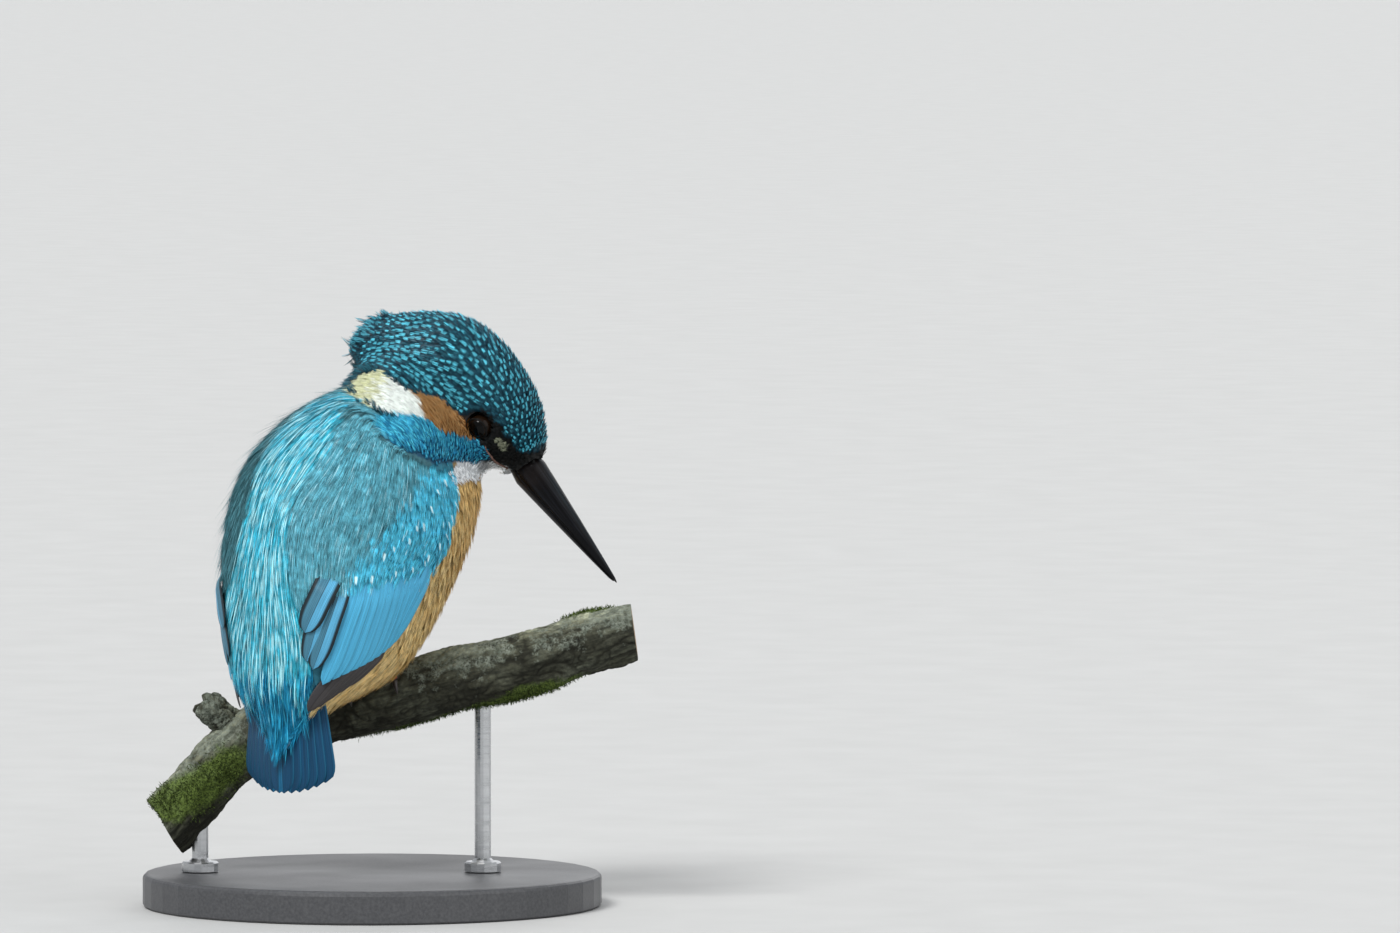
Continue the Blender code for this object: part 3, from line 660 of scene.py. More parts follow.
def makeSkin():
    bm = bmesh.new()
    names = ("head", "neck", "trunk", "wing_left", "wing_right")
    for name in names:
        bm.from_mesh(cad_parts[name].data)
    mesh = bpy.data.meshes.new("skin")
    bm.to_mesh(mesh)
    bm.free()
    rough = addObject("skinBlank", mesh)
    remesh = rough.modifiers.new("remesh", "REMESH")
    remesh.mode = "VOXEL"
    remesh.voxel_size = skinSettings["voxel"] * mm
    soften = rough.modifiers.new("soften", "SMOOTH")
    soften.iterations = skinSettings["smoothing"]
    soften.factor = 0.5
    graph = bpy.context.evaluated_depsgraph_get()
    made = bpy.data.meshes.new_from_object(rough.evaluated_get(graph))
    bpy.data.objects.remove(rough)
    points, normals = readMesh(made)
    head = headPlace(points)
    onHead = smooth(-2, 4, collarHeight(points))
    depth = skinSettings["depth"] + (skinSettings["faceDepth"] - skinSettings["depth"]) * (
        smooth(-26, -8, head[:, 0]) * onHead)
    atGape = smooth(3.5, 6.5, downSide(head[:, 1], head[:, 2])) * smooth(-10, -3, head[:, 0])
    depth += skinSettings["gapeDepth"] * atGape * onHead
    points = points - normals * depth[:, None] * mm
    share, _ = trunkPlace(points)
    back, breast = trunkLines(share)
    middle = (back + breast) / 2
    axis = np.column_stack([0 * share, middle[:, 0], middle[:, 1] + birdShape["perchHeight"]]) * mm
    slim = skinSettings["slimming"] * smooth(0.82, 0.99, share) * smooth(0, -4, collarHeight(points))
    points += (axis - points) * slim[:, None]
    made.vertices.foreach_set("co", points.astype(np.float32).ravel())
    made.update()
    skin = addObject("skin", made)
    made.shade_smooth()
    points, normals = readMesh(made)
    kinds = kindsAt(points)
    colour = featherColour(kinds, "dark") * 0.55 + featherColour(kinds, "main") * 0.25
    layer = made.attributes.new("plume", "FLOAT_COLOR", "POINT")
    colour = np.column_stack([colour, np.ones(len(colour))]).astype(np.float32)
    layer.data.foreach_set("color", colour.ravel())
    finish = Finish("skinDown", (0.05, 0.1, 0.1), 0.8)
    fluff = finish.noise(finish.place(), 900.0, 4)
    finish.use(Base_Color=finish.mix(fluff * 0.6, finish.attribute("plume"), (0.02, 0.02, 0.02), "MULTIPLY"))
    finish.bump(fluff, 0.6, 0.0003)
    made.materials.clear()
    made.materials.append(finish.material)
    dress(skin, "body_feathers", *names)
    return skin


def readMesh(mesh):
    # the places and normals of its points
    both = []
    for field in ("co", "normal"):
        values = np.empty(len(mesh.vertices) * 3, np.float32)
        mesh.vertices.foreach_get(field, values)
        both.append(values.reshape(-1, 3).astype(float))
    return both[0], unit(both[1])


class Body:
    # the skin as a surface that feathers root in and lie along
    def __init__(self, skin):
        self.points, self.normals = readMesh(skin.data)
        self.lie = lieAt(self.points, self.normals)
        self.tree = KDTree(len(self.points))
        for i, point in enumerate(self.points):
            self.tree.insert(point, i)
        self.tree.balance()
        skin.data.calc_loop_triangles()
        triangles = np.empty(len(skin.data.loop_triangles) * 3, np.int32)
        skin.data.loop_triangles.foreach_get("vertices", triangles)
        self.triangles = triangles.reshape(-1, 3)
        self.surface = BVHTree.FromPolygons(self.points.tolist(), self.triangles.tolist())
        a, b, c = (self.points[self.triangles[:, k]] for k in range(3))
        self.areas = np.linalg.norm(np.cross(b - a, c - a), axis=1) / 2

    def land(self, points):
        # the nearest place on the skin: point, normal and lie
        index = np.array([self.tree.find(point)[1] for point in points])
        normals = self.normals[index]
        drop = ((points - self.points[index]) * normals).sum(1, keepdims=True)
        return points - normals * drop, normals, self.lie[index]

    def ahead(self, points, distance):
        # places this many millimetres on along the lie
        for _ in range(3):
            points, _, lie = self.land(points)
            points = points + lie * (np.reshape(distance, (-1, 1)) / 3 * mm)
        return points

    def cast(self, start, ways):
        # where lines from a point inside the body come out
        return np.array([self.surface.ray_cast(Vector(start), Vector(way))[0] for way in ways])

    def scatter(self, spacing):
        # even random places over the whole skin, about this far apart in millimetres
        wanted = int(self.areas.sum() / (spacing * mm) ** 2 * 7)
        picked = chance.choice(len(self.areas), wanted, p=self.areas / self.areas.sum())
        a, b = chance.random(wanted), chance.random(wanted)
        flip = a + b > 1
        a[flip], b[flip] = 1 - a[flip], 1 - b[flip]
        corner, second, third = (self.points[self.triangles[picked, k]] for k in range(3))
        places = corner + (second - corner) * a[:, None] + (third - corner) * b[:, None]
        cells = np.floor(places / (spacing * mm)).astype(int)
        _, first = np.unique(cells, axis=0, return_index=True)
        return places[first]

    def plant(self, spacing, reach, ragged):
        # scattered roots, and for each the kind of feather that grows this far on, where its tip lies
        roots = self.scatter(spacing)
        return roots, kindsAt(self.ahead(roots, reach(roots) if callable(reach) else reach), ragged)


perchShape = {
    "turn": 219.0,
    "radius": 7.9,
    "line": [(-50, 19.2), (-43, 27.0), (-34.5, 36.0), (-23, 43.5), (-6.5, 48.2), (14, 53.5), (31, 57.8),
             (48, 62.4), (64, 66.8)],
    "swell": [1.0, 0.97, 1.1, 1.04, 0.98, 1.0, 1.0, 0.95, 0.92],
    "stubAlong": -29.5,
    "stubLength": 12.64,
    "stubGrain": 13.44,  # how much of the bark's pattern runs along it
    "stubRadius": 3.6,
    "stubGirth": [(0, 0.42, 0.82, 0.97, 1), (1.40, 1.18, 1.16, 1.0, 0.6)],
    "keptClear": 62.0,  # within this distance of the feet no feather enters the branch
    "room": 0.15,  # how far off its bark they stay
}
perchTurn = math.radians(perchShape["turn"])
perchHeading = np.array((math.cos(perchTurn), math.sin(perchTurn), 0))
perchRows = alongRows(perchShape["line"], np.linspace(0, 1, 200))


def perchFrame(distance):
    # centre in metres, direction, up and frontward vectors of the branch at distances along it
    distance = np.asarray(distance, float)
    before, height, after = (np.interp(distance + step, *perchRows.T) for step in (-1, 0, 1))
    centre = perchHeading * distance[..., None]
    centre[..., 2] += height
    way = np.broadcast_to(perchHeading * 2, centre.shape).copy()
    way[..., 2] += after - before
    way = unit(way)
    side = unit(np.cross((0, 0, 1), way))
    return centre * mm, way, np.cross(way, side), side


def clearOfPerch(points):
    # moves points that lie in the branch out to its bark
    distance = points @ perchHeading / mm
    centre, way, _, _ = perchFrame(distance)
    out = points - centre
    out -= way * (out * way).sum(-1, keepdims=True)
    away = np.linalg.norm(out, axis=-1, keepdims=True)
    needed = (perchShape["radius"] + perchShape["room"]) * mm
    inside = (away < needed) & (np.abs(distance)[..., None] < perchShape["keptClear"])
    return np.where(inside, points + out / np.maximum(away, 1e-9) * (needed - away), points)


# A tuft leaves the skin where a step would shift it by this share, or turn its normal past this cosine.
offEdge = {"moved": 0.55, "turned": 0.6}


def tuftPaths(body, roots, lengths, steps, lean=None):
    # each tuft's line along the skin: points, normals and sides at even steps, straight on past an edge
    points, normals, lie = body.land(roots)
    if lean is not None:
        lie = unit(lie + lean)
    line, ups, sides = [points], [normals], [np.cross(normals, lie)]
    for _ in range(steps):
        ahead = points + lie * (lengths / steps * mm)[:, None]
        landed, newNormals, newLie = body.land(ahead)
        moved = np.linalg.norm(landed - ahead, axis=1) > lengths / steps * mm * offEdge["moved"]
        turned = (newNormals * normals).sum(1) < offEdge["turned"]
        keep = (moved | turned)[:, None]
        points = np.where(keep, ahead, landed)
        normals = np.where(keep, normals, newNormals)
        if lean is not None:
            newLie = unit(newLie + lean)
        lie = np.where(keep, lie, unit(newLie - normals * (newLie * normals).sum(1, keepdims=True)))
        line.append(points)
        ups.append(normals)
        sides.append(np.cross(normals, lie))
    return np.stack(line, 1), np.stack(ups, 1), np.stack(sides, 1)


tuftDefaults = {
    "lengthVaries": (0.8, 1.2),
    "widthFollows": False,  # longer tufts are wider too
    "liftVaries": (0.65, 1.35),
    "foot": 0.04,  # how high off the skin a tuft starts
    "steps": 3,  # how many pieces the line that a tuft follows has
    "stations": (0, 0.4, 0.75, 1.0),  # where along itself a barb has points
    "taper": (0.8, 1.0, 0.75),  # its width at all of them but the last
    "stagger": 0.3,  # how unevenly the barbs start
    "roundness": 0.25,  # how much sooner the outer barbs end
    "spreadBy": 0.45,  # where they have spread to their full width
    "close": 0.3,  # how far the barbs close in towards the tip
    "waver": 0.04,
    "dome": 0.25,  # how much lower the outer barbs lie
    "cup": 0.4,  # how far they tip outwards
    "uneven": 0.25,  # differences of shade between barbs
    "patchy": 0.3,  # and between tufts
    "gaps": 0.0,  # share of the barbs that are in shade
    "gapShade": 0.4,
    "brightBy": 0.55,  # where the dark base has given way to the main colour
    "mark": 0.3,  # strength of the bright mark
    "onHead": False,
    "nearPerch": False,  # kept out of the branch
    "roughness": 0.5,
    "grain": 700.0,
}


def tuftShape(body, roots, look, lean):
    # the points of every barb, (tufts, barbs, points, 3), and how far along and across each barb lies
    count, strands, steps = len(roots), look["strands"], look["steps"]
    lengths = look["length"](roots) if callable(look["length"]) else np.full(count, float(look["length"]))
    lengths = lengths * chance.uniform(*look["lengthVaries"], count)
    widths = look["width"] * (lengths / lengths.mean() if look["widthFollows"] else np.ones(count))
    widths = widths[:, None, None]
    line, ups, sides = tuftPaths(body, roots, lengths, steps, lean)
    across = np.linspace(-1, 1, strands)[None, :] + chance.uniform(-0.6, 0.6, (count, strands)) / strands
    start = chance.uniform(0, look["stagger"], (count, strands))
    end = 1 - look["roundness"] * across**2 + chance.uniform(-0.10, 0.06, (count, strands))
    along = start[..., None] + (end - start)[..., None] * np.array(look["stations"])
    k = np.clip((along * steps).astype(int), 0, steps - 1)
    f = (along * steps - k)[..., None]
    tuft = np.arange(count)[:, None, None]
    centre, up, side = (v[tuft, k] * (1 - f) + v[tuft, k + 1] * f for v in (line, ups, sides))
    up, side = unit(up), unit(side)
    spread = np.clip(along / look["spreadBy"], 0, 1) ** 0.6
    spread = spread * (1 - look["close"] * np.clip((along - 0.5) / 0.5, 0, 1))
    waver = chance.normal(0, look["waver"], (count, strands))[..., None] * along * widths
    sideways = widths / 2 * across[..., None] * spread + waver
    lift = look["lift"] * chance.uniform(*look["liftVaries"], count)[:, None, None]
    height = lift * np.clip(along, 0, 1.1) ** 1.2 * (1 - look["dome"] * across[..., None] ** 2)
    height = look["foot"] + height + chance.normal(0, 0.03, (count, strands))[..., None] * along
    place = centre + (side * sideways[..., None] + up * height[..., None]) * mm
    roll = (across * look["cup"] + chance.normal(0, 0.15, (count, strands)))[..., None, None]
    flat = side * np.cos(roll) - up * np.sin(roll)
    thick = look["barb"] * np.array(look["taper"])
    half = flat[:, :, :-1] * (thick / 2)[:, None] * mm
    points = np.concatenate([place[:, :, :-1] - half, place[:, :, :-1] + half, place[:, :, -1:]], 2)
    along = np.concatenate([along[:, :, :-1], along[:, :, :-1], along[:, :, -1:]], 2)
    return points, along, np.broadcast_to(across[..., None], along.shape)


def tuftColours(roots, kinds, look, along, across):
    # a dark base that is partly painted shade, the main colour with its uneven shades, and the strength and
    # colour of the bright mark
    count, strands = along.shape[:2]
    luck = np.broadcast_to(chance.random(count)[:, None, None], along.shape)
    strandLuck = chance.random((count, strands))[..., None]
    shade = 1 + look["uneven"] * (strandLuck - 0.5) + look["patchy"] * (luck - 0.5)
    shade = np.where(chance.random((count, strands, 1)) < look["gaps"], shade * look["gapShade"], shade)
    dark, main, glint = (featherColour(kinds, tone)[:, None, None] for tone in ("dark", "main", "glint"))
    rise = smooth(0.05, look["brightBy"], along)[..., None]
    colour = (dark * (1 - rise) + main * rise) * shade[..., None]
    strength = look["mark"](roots) if callable(look["mark"]) else np.full(count, look["mark"])
    glint = np.broadcast_to(glint, colour.shape)
    return {
        "plume": together(*np.moveaxis(colour, -1, 0), 1.0),
        "glint": together(*np.moveaxis(glint, -1, 0), strength[:, None, None]),
        "lie": together(along, across, luck),
    }


def growTufts(name, body, planted, chosen, look, finish, slot, lean=None):
    # tufts of fine flat barbs on the chosen roots, lying along the skin; look holds sizes in millimetres
    look = {**tuftDefaults, **look}
    roots, kinds = (part[chosen] for part in planted)
    shape, along, across = tuftShape(body, roots, look, lean)
    count, strands, size = along.shape
    points = shape.reshape(-1, 3)
    if look["nearPerch"]:
        points = clearOfPerch(points)
    pairs = (size - 1) // 2
    base = np.arange(count * strands)[:, None] * size
    quads = [base + np.array([i, pairs + i, pairs + i + 1, i + 1]) for i in range(pairs - 1)]
    faces = [np.concatenate(quads), base + np.array([pairs - 1, size - 2, size - 1])]
    attributes = tuftColours(roots, kinds, look, along, across)
    patchSize, barbSize = 0.0028, 0.0001  # of the unwrapped square
    patch = together(across / 2, np.clip(along, 0, 1) - 0.5) * patchSize
    patch[:, :, :pairs, 0] -= barbSize
    corners = (unwrapPlace(roots, look["onHead"])[:, None, None] + patch).reshape(-1, 2)
    dress(meshFrom(name, points, faces, finish, attributes, corners, isSmooth=False), slot)
    report(f"{name}: {count} tufts, {count * strands * (size - 2)} triangles")


def unwrapPlace(points, onHead):
    # the skin unrolled about its own axis, filling the square
    if onHead:
        forward, left, up = headPlace(points).T
        flat = together(np.arctan2(left, up) * 14, forward)
    else:
        share, angle = trunkPlace(points)
        flat = together(np.radians(angle) * 20, share * 95)
    low, high = flat.min(0), flat.max(0)
    margin = 0.02
    return margin + (1 - 2 * margin) * (flat - low) / np.maximum(high - low, 1e-6)


def plumeFinish(name, look):
    look = {**tuftDefaults, **look}
    finish = Finish(name, (0.1, 0.3, 0.4), look["roughness"], Specular_IOR_Level=0.16)
    along, across, _ = finish.parts(finish.attribute("lie", "Vector"))
    low, high = look["glintFrom"], look["glintTo"]
    rise = finish.between(along, low - 0.08, low + 0.04)
    fall = 1 - finish.between(along, high - 0.04, high + 0.08)
    narrow = 1 - finish.between(abs(across), look["glintWidth"] * 0.6, look["glintWidth"] * 1.3)
    mark = rise * fall * narrow * finish.attribute("glint", "Alpha")
    grain = finish.noise(finish.place(), look["grain"], 2.0)
    plume = finish.times(finish.attribute("plume"), finish.ramp(grain, [(0.3, 0.72), (0.7, 1.25)]))
    finish.use(Base_Color=finish.mix(mark, plume, finish.attribute("glint")))
    return finish


def dressCrown(body):
    # rows of spotted feathers over plain dark ones, then a shaggy crest at the nape
    def spotLength(points):
        forward = headPlace(points)[:, 0]
        return 1.9 * crownGap(forward) * (1 - 0.40 * smooth(-43, -51, forward))

    def underLength(points):
        return 2.6 - 1.2 * smooth(-43, -51, headPlace(points)[:, 0])

    def napeLength(points):
        return 5.2 - 3.4 * smooth(-14, -6, headPlace(points)[:, 2])

    spotted = {
        "strands": 15, "width": 1.95, "widthFollows": True, "lift": 0.95, "barb": 0.14, "roundness": 0.2,
        "length": spotLength, "onHead": True, "cup": 0.5, "patchy": 0.4,
        "mark": lambda p: chance.uniform(0.55, 1.0, len(p)),
        "glintFrom": 0.57, "glintTo": 0.94, "glintWidth": 0.42, "roughness": 0.40,
        "stations": (0, 0.45, 0.65, 0.82, 1.0), "taper": (0.8, 1.0, 1.0, 0.8),
    }
    plain = dict(spotted, strands=8, width=1.5, lift=0.7, length=underLength, widthFollows=False, mark=0.10,
                 roundness=0.3)
    nape = {
        "strands": 12, "width": 1.6, "lift": 1.9, "barb": 0.15, "length": napeLength, "onHead": True,
        "glintFrom": 0.5, "glintTo": 0.9, "glintWidth": 0.4, "mark": 0.5, "waver": 0.10, "roughness": 0.45,
    }
    finish = plumeFinish("crownPlumage", spotted)
    napeFinish = plumeFinish("napePlumage", nape)
    everyRoot, slot = slice(None), "crown_feathers"
    growTufts("crownSpots", body, crownRows(body), everyRoot, spotted, finish, slot)
    planted = body.plant(0.95, 1.3, 0.25)
    growTufts("crownUndercoat", body, planted, isKind(planted[1], "crown"), plain, finish, slot)
    planted = roots, kinds = body.plant(1.15, 2.0, 0.3)
    forward, _, up = headPlace(roots).T
    chosen = isKind(kinds, "nape") | (isKind(kinds, "crown") & (forward < -50) & (up < -6))
    growTufts("napeCrest", body, planted, chosen, nape, napeFinish, slot, lean=-0.42 * headAxes[0])


def crownGap(forward):
    # the rows lie closest at the forehead
    return 1.0 + 0.82 * smooth(0, -32, forward)


crownRowSettings = {
    "middle": (-26, 0, -8),  # the point in the head that the rows run round
    "tilts": (22, 172),  # from the forehead to the nape, in degrees
    "turn": 230,  # how far a row runs round
    "rowGap": 0.93,
    "spotGap": 0.95,
    "unevenRow": 0.16,
    "unevenSpot": 0.14,
}


def crownRows(body):
    # staggered rows of roots over the crown, and their kinds
    settings = crownRowSettings
    inside = fromHead([settings["middle"]])[0]

    def castRow(tilts, turns):
        ways = together(np.cos(tilts), np.sin(tilts) * np.sin(turns), np.sin(tilts) * np.cos(turns))
        return body.cast(inside, ways @ headAxes)

    tilts = np.radians(np.linspace(*settings["tilts"], 200))
    middle = castRow(tilts, 0 * tilts)
    along = np.concatenate([[0], np.cumsum(np.linalg.norm(np.diff(middle, axis=0), axis=1))]) / mm
    turn = math.radians(settings["turn"])
    places, done, row = [], 0.4, 0
    while done < along[-1]:
        tilt = np.interp(done, along, tilts)
        gap = float(crownGap(np.interp(done, along, headPlace(middle)[:, 0])))
        girth = np.interp(done, along, np.linalg.norm(middle - inside, axis=1)) / mm * math.sin(tilt) * 0.88
        count = max(5, int(turn * girth / (gap * settings["spotGap"])))
        turns = (np.arange(count) + 0.5 * (row % 2)) / count * turn - turn / 2
        turns = turns + chance.normal(0, settings["unevenSpot"], count) * gap / girth
        jitter = chance.normal(0, settings["unevenRow"], count) * gap / along[-1] * (tilts[-1] - tilts[0])
        places.append(castRow(tilt + jitter, turns))
        done += gap * settings["rowGap"]
        row += 1
    points = np.vstack(places)
    spots = body.ahead(points, 1.35 * crownGap(headPlace(points)[:, 0]))
    forward, left, up = headPlace(spots).T
    spotless = smooth(-4, -14, forward)  # a plain dark band above the ear and neck patches
    kinds = kindsAt(spots)
    chosen = isKind(kinds, "crown") & (crownMargin(forward, downSide(left, up)) > spotless)
    return points[chosen], kinds[chosen]


def streaky(points):
    return chance.random(len(points)) ** 1.3


def dressFace(body):
    # short smooth feathers, longer on the cheek and neck patches
    def faceLength(points):
        return 1.3 + 3.0 * smooth(-9, -26, headPlace(points)[:, 0])

    face = {
        "strands": 8, "width": 1.1, "lift": 0.7, "barb": 0.11, "onHead": True, "cup": 0.3,
        "length": faceLength, "widthFollows": True, "glintFrom": 0.45, "glintTo": 0.95, "glintWidth": 0.45,
        "mark": 0.6, "uneven": 0.4, "gaps": 0.08, "roughness": 0.55,
    }
    malar = dict(face, gaps=0.25, uneven=0.7, mark=streaky)
    finish = plumeFinish("facePlumage", face)
    planted = body.plant(0.68, lambda points: 0.62 * faceLength(points), 0.22)
    for name, look, parts in (("cheekFeathers", face, ("rust", "white", "cream")),
                              ("malarFeathers", malar, ("malar",)),
                              ("maskFeathers", face, ("mask", "loral", "throat"))):
        growTufts(name, body, planted, isKind(planted[1], *parts), look, finish, "neck_feathers")


def streakEnd(around):
    # the long back feathers end in a point over the tail
    return 1.01 - 0.09 * smooth(10, 45, around)


def dressBack(body):
    # long shining streaks that run from the neck over the rump to the tail, their pale glints painted
    # highlights
    def streakLength(points):
        share, angle = trunkPlace(points)
        return np.clip((streakEnd(np.abs(angle)) - share) * 105, 3.5, 11.5)

    stripe = {
        "strands": 18, "width": 2.2, "lift": 1.3, "barb": 0.135, "length": streakLength, "steps": 5,
        "dome": 0.4, "stations": (0, 0.3, 0.55, 0.8, 1.0), "taper": (0.6, 1.0, 1.0, 0.7), "cup": 0.5,
        "stagger": 0.4, "glintFrom": 0.25, "glintTo": 0.97, "glintWidth": 0.28, "waver": 0.10,
        "patchy": 0.6, "uneven": 0.8, "gaps": 0.20, "roughness": 0.35, "nearPerch": True,
        "mark": lambda p: streaky(p) ** 1.6,
    }
    lines = dict(stripe, strands=3, width=0.55, barb=0.22, lift=1.75, length=lambda p: streakLength(p) * 1.3,
                 mark=0.85, glintFrom=0.1, glintWidth=1.0, gaps=0.0, stagger=0.15)
    finish = plumeFinish("backPlumage", stripe)
    lineFinish = plumeFinish("streakPlumage", lines)
    planted = roots, kinds = body.plant(1.3, 5.5, 0.5)
    share, angle = trunkPlace(roots)
    around = np.abs(angle)
    chosen = isKind(kinds, "stripe", "rump") & (share < streakEnd(around) - 0.03)
    fan = np.sign(roots[:, 0]) * 0.50 * smooth(0.70, 0.88, share) * smooth(6, 30, around)
    fan = fan[:, None] * (1.0, 0.0, 0.0)  # over the tail the streaks spread rather than close in
    for name, part in (("mantleStreaks", chosen & (share < 0.5)), ("rumpStreaks", chosen & (share >= 0.5))):
        growTufts(name, body, planted, part, stripe, finish, "body_feathers", fan[part])
    # long single streaks in the glint colour, painted highlights on the back
    part = chosen & (share < 0.86) & (chance.random(len(roots)) < 0.26)
    growTufts("highlightStreaks", body, planted, part, lines, lineFinish, "body_feathers", fan[part])


spotRows = [  # lines of pale spots on the coverts: how many, and (share along the trunk, degrees round it)
    (12, [(0.29, 99), (0.36, 98.5), (0.43, 94), (0.495, 86), (0.542, 59)]),
    (8, [(0.27, 90.5), (0.357, 86), (0.415, 81), (0.47, 70)]),
]


def dressWings(body):
    # shoulders of hair-like feathers with a few pale streaks, then the coverts with their rows of spots
    def toCovertEnd(points):
        share, angle = trunkPlace(points)
        return alongWing(covertEnd, np.abs(angle)) - share

    def covertLength(points):
        return 5.8 + 1.6 * smooth(0.06, 0, toCovertEnd(points))

    def rareMark(share, bright, plain):
        return lambda points: np.where(chance.random(len(points)) < share, bright, plain)

    scapular = {
        "strands": 19, "width": 2.4, "lift": 1.1, "barb": 0.105, "length": 8.5, "steps": 4, "dome": 0.2,
        "stations": (0, 0.35, 0.65, 1.0), "glintFrom": 0.45, "glintTo": 0.98, "glintWidth": 0.10,
        "mark": rareMark(0.25, 0.9, 0.1), "waver": 0.09, "uneven": 0.7, "gaps": 0.10, "stagger": 0.45,
    }
    covert = {
        "strands": 15, "width": 2.5, "lift": 0.95, "barb": 0.14, "length": covertLength, "dome": 0.3,
        "stations": (0, 0.45, 0.68, 0.86, 1.0), "taper": (0.7, 1.0, 1.0, 0.8), "glintFrom": 0.64,
        "glintTo": 0.95, "glintWidth": 0.22, "roughness": 0.42, "cup": 0.3, "uneven": 0.6, "gaps": 0.08,
        "mark": rareMark(0.10, 0.45, 0.06),
    }
    spotted = dict(covert, mark=1.0, lift=2.0, length=4.6, width=2.2, glintFrom=0.60, glintTo=0.99,
                   glintWidth=0.42, uneven=0.3, gaps=0.0)
    lines = dict(scapular, strands=2, width=0.35, barb=0.17, lift=1.5, length=10.0, mark=0.7, glintFrom=0.15,
                 glintWidth=1.0, gaps=0.0, stagger=0.15)
    wisps = dict(lines, strands=3, width=0.9, barb=0.13, lift=3.0, length=12.0, mark=0.15, waver=0.16)
    scapularFinish = plumeFinish("shoulderPlumage", scapular)
    covertFinish = plumeFinish("covertPlumage", covert)
    spotFinish = plumeFinish("spotPlumage", spotted)
    lineFinish = plumeFinish("shoulderStreaks", lines)
    shoulder = body.plant(1.35, 5.0, 0.6)
    coverts = body.plant(1.5, 3.4, 0.5)
    onShoulder = isKind(shoulder[1], "scapular", "shade")
    raggedEnd = chance.normal(0, 0.016, len(coverts[0]))
    onCovert = isKind(coverts[1], "covert") & (toCovertEnd(coverts[0]) > raggedEnd)

    def grow(name, planted, chosen, look, finish):
        growTufts(name, body, planted, chosen, look, finish, "wing_feathers")

    for sideName, side in (("right", -1), ("left", 1)):
        chosen = onShoulder & (shoulder[0][:, 0] * side > 0)
        grow(f"scapulars_{sideName}", shoulder, chosen, scapular, scapularFinish)
        picked = chosen & (chance.random(len(chosen)) < 0.22)
        grow(f"shoulderLines_{sideName}", shoulder, picked, lines, lineFinish)
        picked = chosen & isKind(shoulder[1], "shade") & (chance.random(len(chosen)) < 0.30)
        grow(f"shoulderWisps_{sideName}", shoulder, picked, wisps, lineFinish)
        grow(f"coverts_{sideName}", coverts, onCovert & (coverts[0][:, 0] * side > 0), covert, covertFinish)
        spots = np.vstack([curveThrough(points, count) for count, points in spotRows])
        spots = spots + chance.normal(0, 1, spots.shape) * (0.002, 0.5)
        tips, _, lie = body.land(trunkPoint(spots[:, 0], np.radians(spots[:, 1]) * side))
        planted = tips - lie * 3.7 * mm, np.full(len(tips), kindNumber["covert"])
        grow(f"wingSpots_{sideName}", planted, slice(None), spotted, spotFinish)


def dressCollar(body):
    # short feathers in the fold between the neck and the shoulders
    collar = {
        "strands": 11, "width": 1.9, "lift": 0.9, "barb": 0.12, "length": 4.2, "dome": 0.2, "waver": 0.09,
        "glintFrom": 0.45, "glintTo": 0.98, "glintWidth": 0.12, "uneven": 0.6, "gaps": 0.1, "stagger": 0.4,
    }
    finish = plumeFinish("collarPlumage", collar)
    roots = body.scatter(1.1)
    kinds = kindsAt(roots, 0.4)
    height = collarHeight(roots)
    chosen = isKind(kinds, "scapular", "shade", "stripe", "covert") & (height > -6) & (height < 1)
    growTufts("collarFeathers", body, (roots, kinds), chosen, collar, finish, "neck_feathers")


def dressBreast(body):
    # soft and close, loose over the branch
    def bellyLength(points):
        share, _ = trunkPlace(points)
        return 6.0 + 3.0 * smooth(0.60, 0.72, share) * smooth(0.84, 0.76, share)

    breast = {
        "strands": 11, "width": 2.4, "lift": 1.2, "barb": 0.16, "length": 5.5, "dome": 0.2,
        "glintFrom": 0.5, "glintTo": 0.98, "glintWidth": 0.4, "mark": 0.35, "waver": 0.09, "uneven": 0.35,
        "patchy": 0.25, "stagger": 0.4, "roughness": 0.6, "nearPerch": True,
    }
    belly = dict(breast, length=bellyLength, waver=0.13, gaps=0.06)
    finish = plumeFinish("breastPlumage", breast)
    planted = roots, kinds = body.plant(1.45, 3.0, 0.5)
    share, angle = trunkPlace(roots)
    onBelly = isKind(kinds, "belly") & (share < 0.86 + 0.08 * smooth(110, 140, np.abs(angle)))
    for name, chosen, look in (("breastFeathers", isKind(kinds, "breast"), breast),
                               ("bellyFeathers", onBelly, belly)):
        growTufts(name, body, planted, chosen, look, finish, "body_feathers")


def vaneFinish(name, outer, inner, shaft, edge, roughness=0.4, edgeFrom=0.84):
    finish = Finish(name, outer, roughness, Specular_IOR_Level=0.2)
    place = finish.attribute("lie", "Vector")
    along, across, luck = finish.parts(place)
    slanted = finish.add("ShaderNodeCombineXYZ", {}, {0: along * 14 + across * 3.0, 1: luck * 9})
    barbs = finish.bands(slanted, 3.0, 1.5, 2.0)
    web = finish.mix(finish.between(across, -0.12, 0.12), inner, outer)
    streak = finish.noise(finish.scaled(place, (1.2, 22.0, 20.0)), 1.0, 4.0, 0.65)
    web = finish.times(web, finish.ramp(streak, [(0.32, 0.55), (0.68, 1.5)]))
    web = finish.mix(barbs * 0.25, web, shaft)
    web = finish.mix(finish.between(abs(across), edgeFrom, edgeFrom + 0.2), web, edge)
    web = finish.mix(0.8 - 0.8 * finish.between(abs(across), 0.015, 0.05), web, shaft)
    finish.use(Base_Color=web)
    finish.bump(barbs, 0.25, 0.0001)
    return finish


vaneDefaults = {"rows": 26, "columns": 11, "thick": 0.12, "shaftRise": 0.10, "shaftWidth": 0.07}


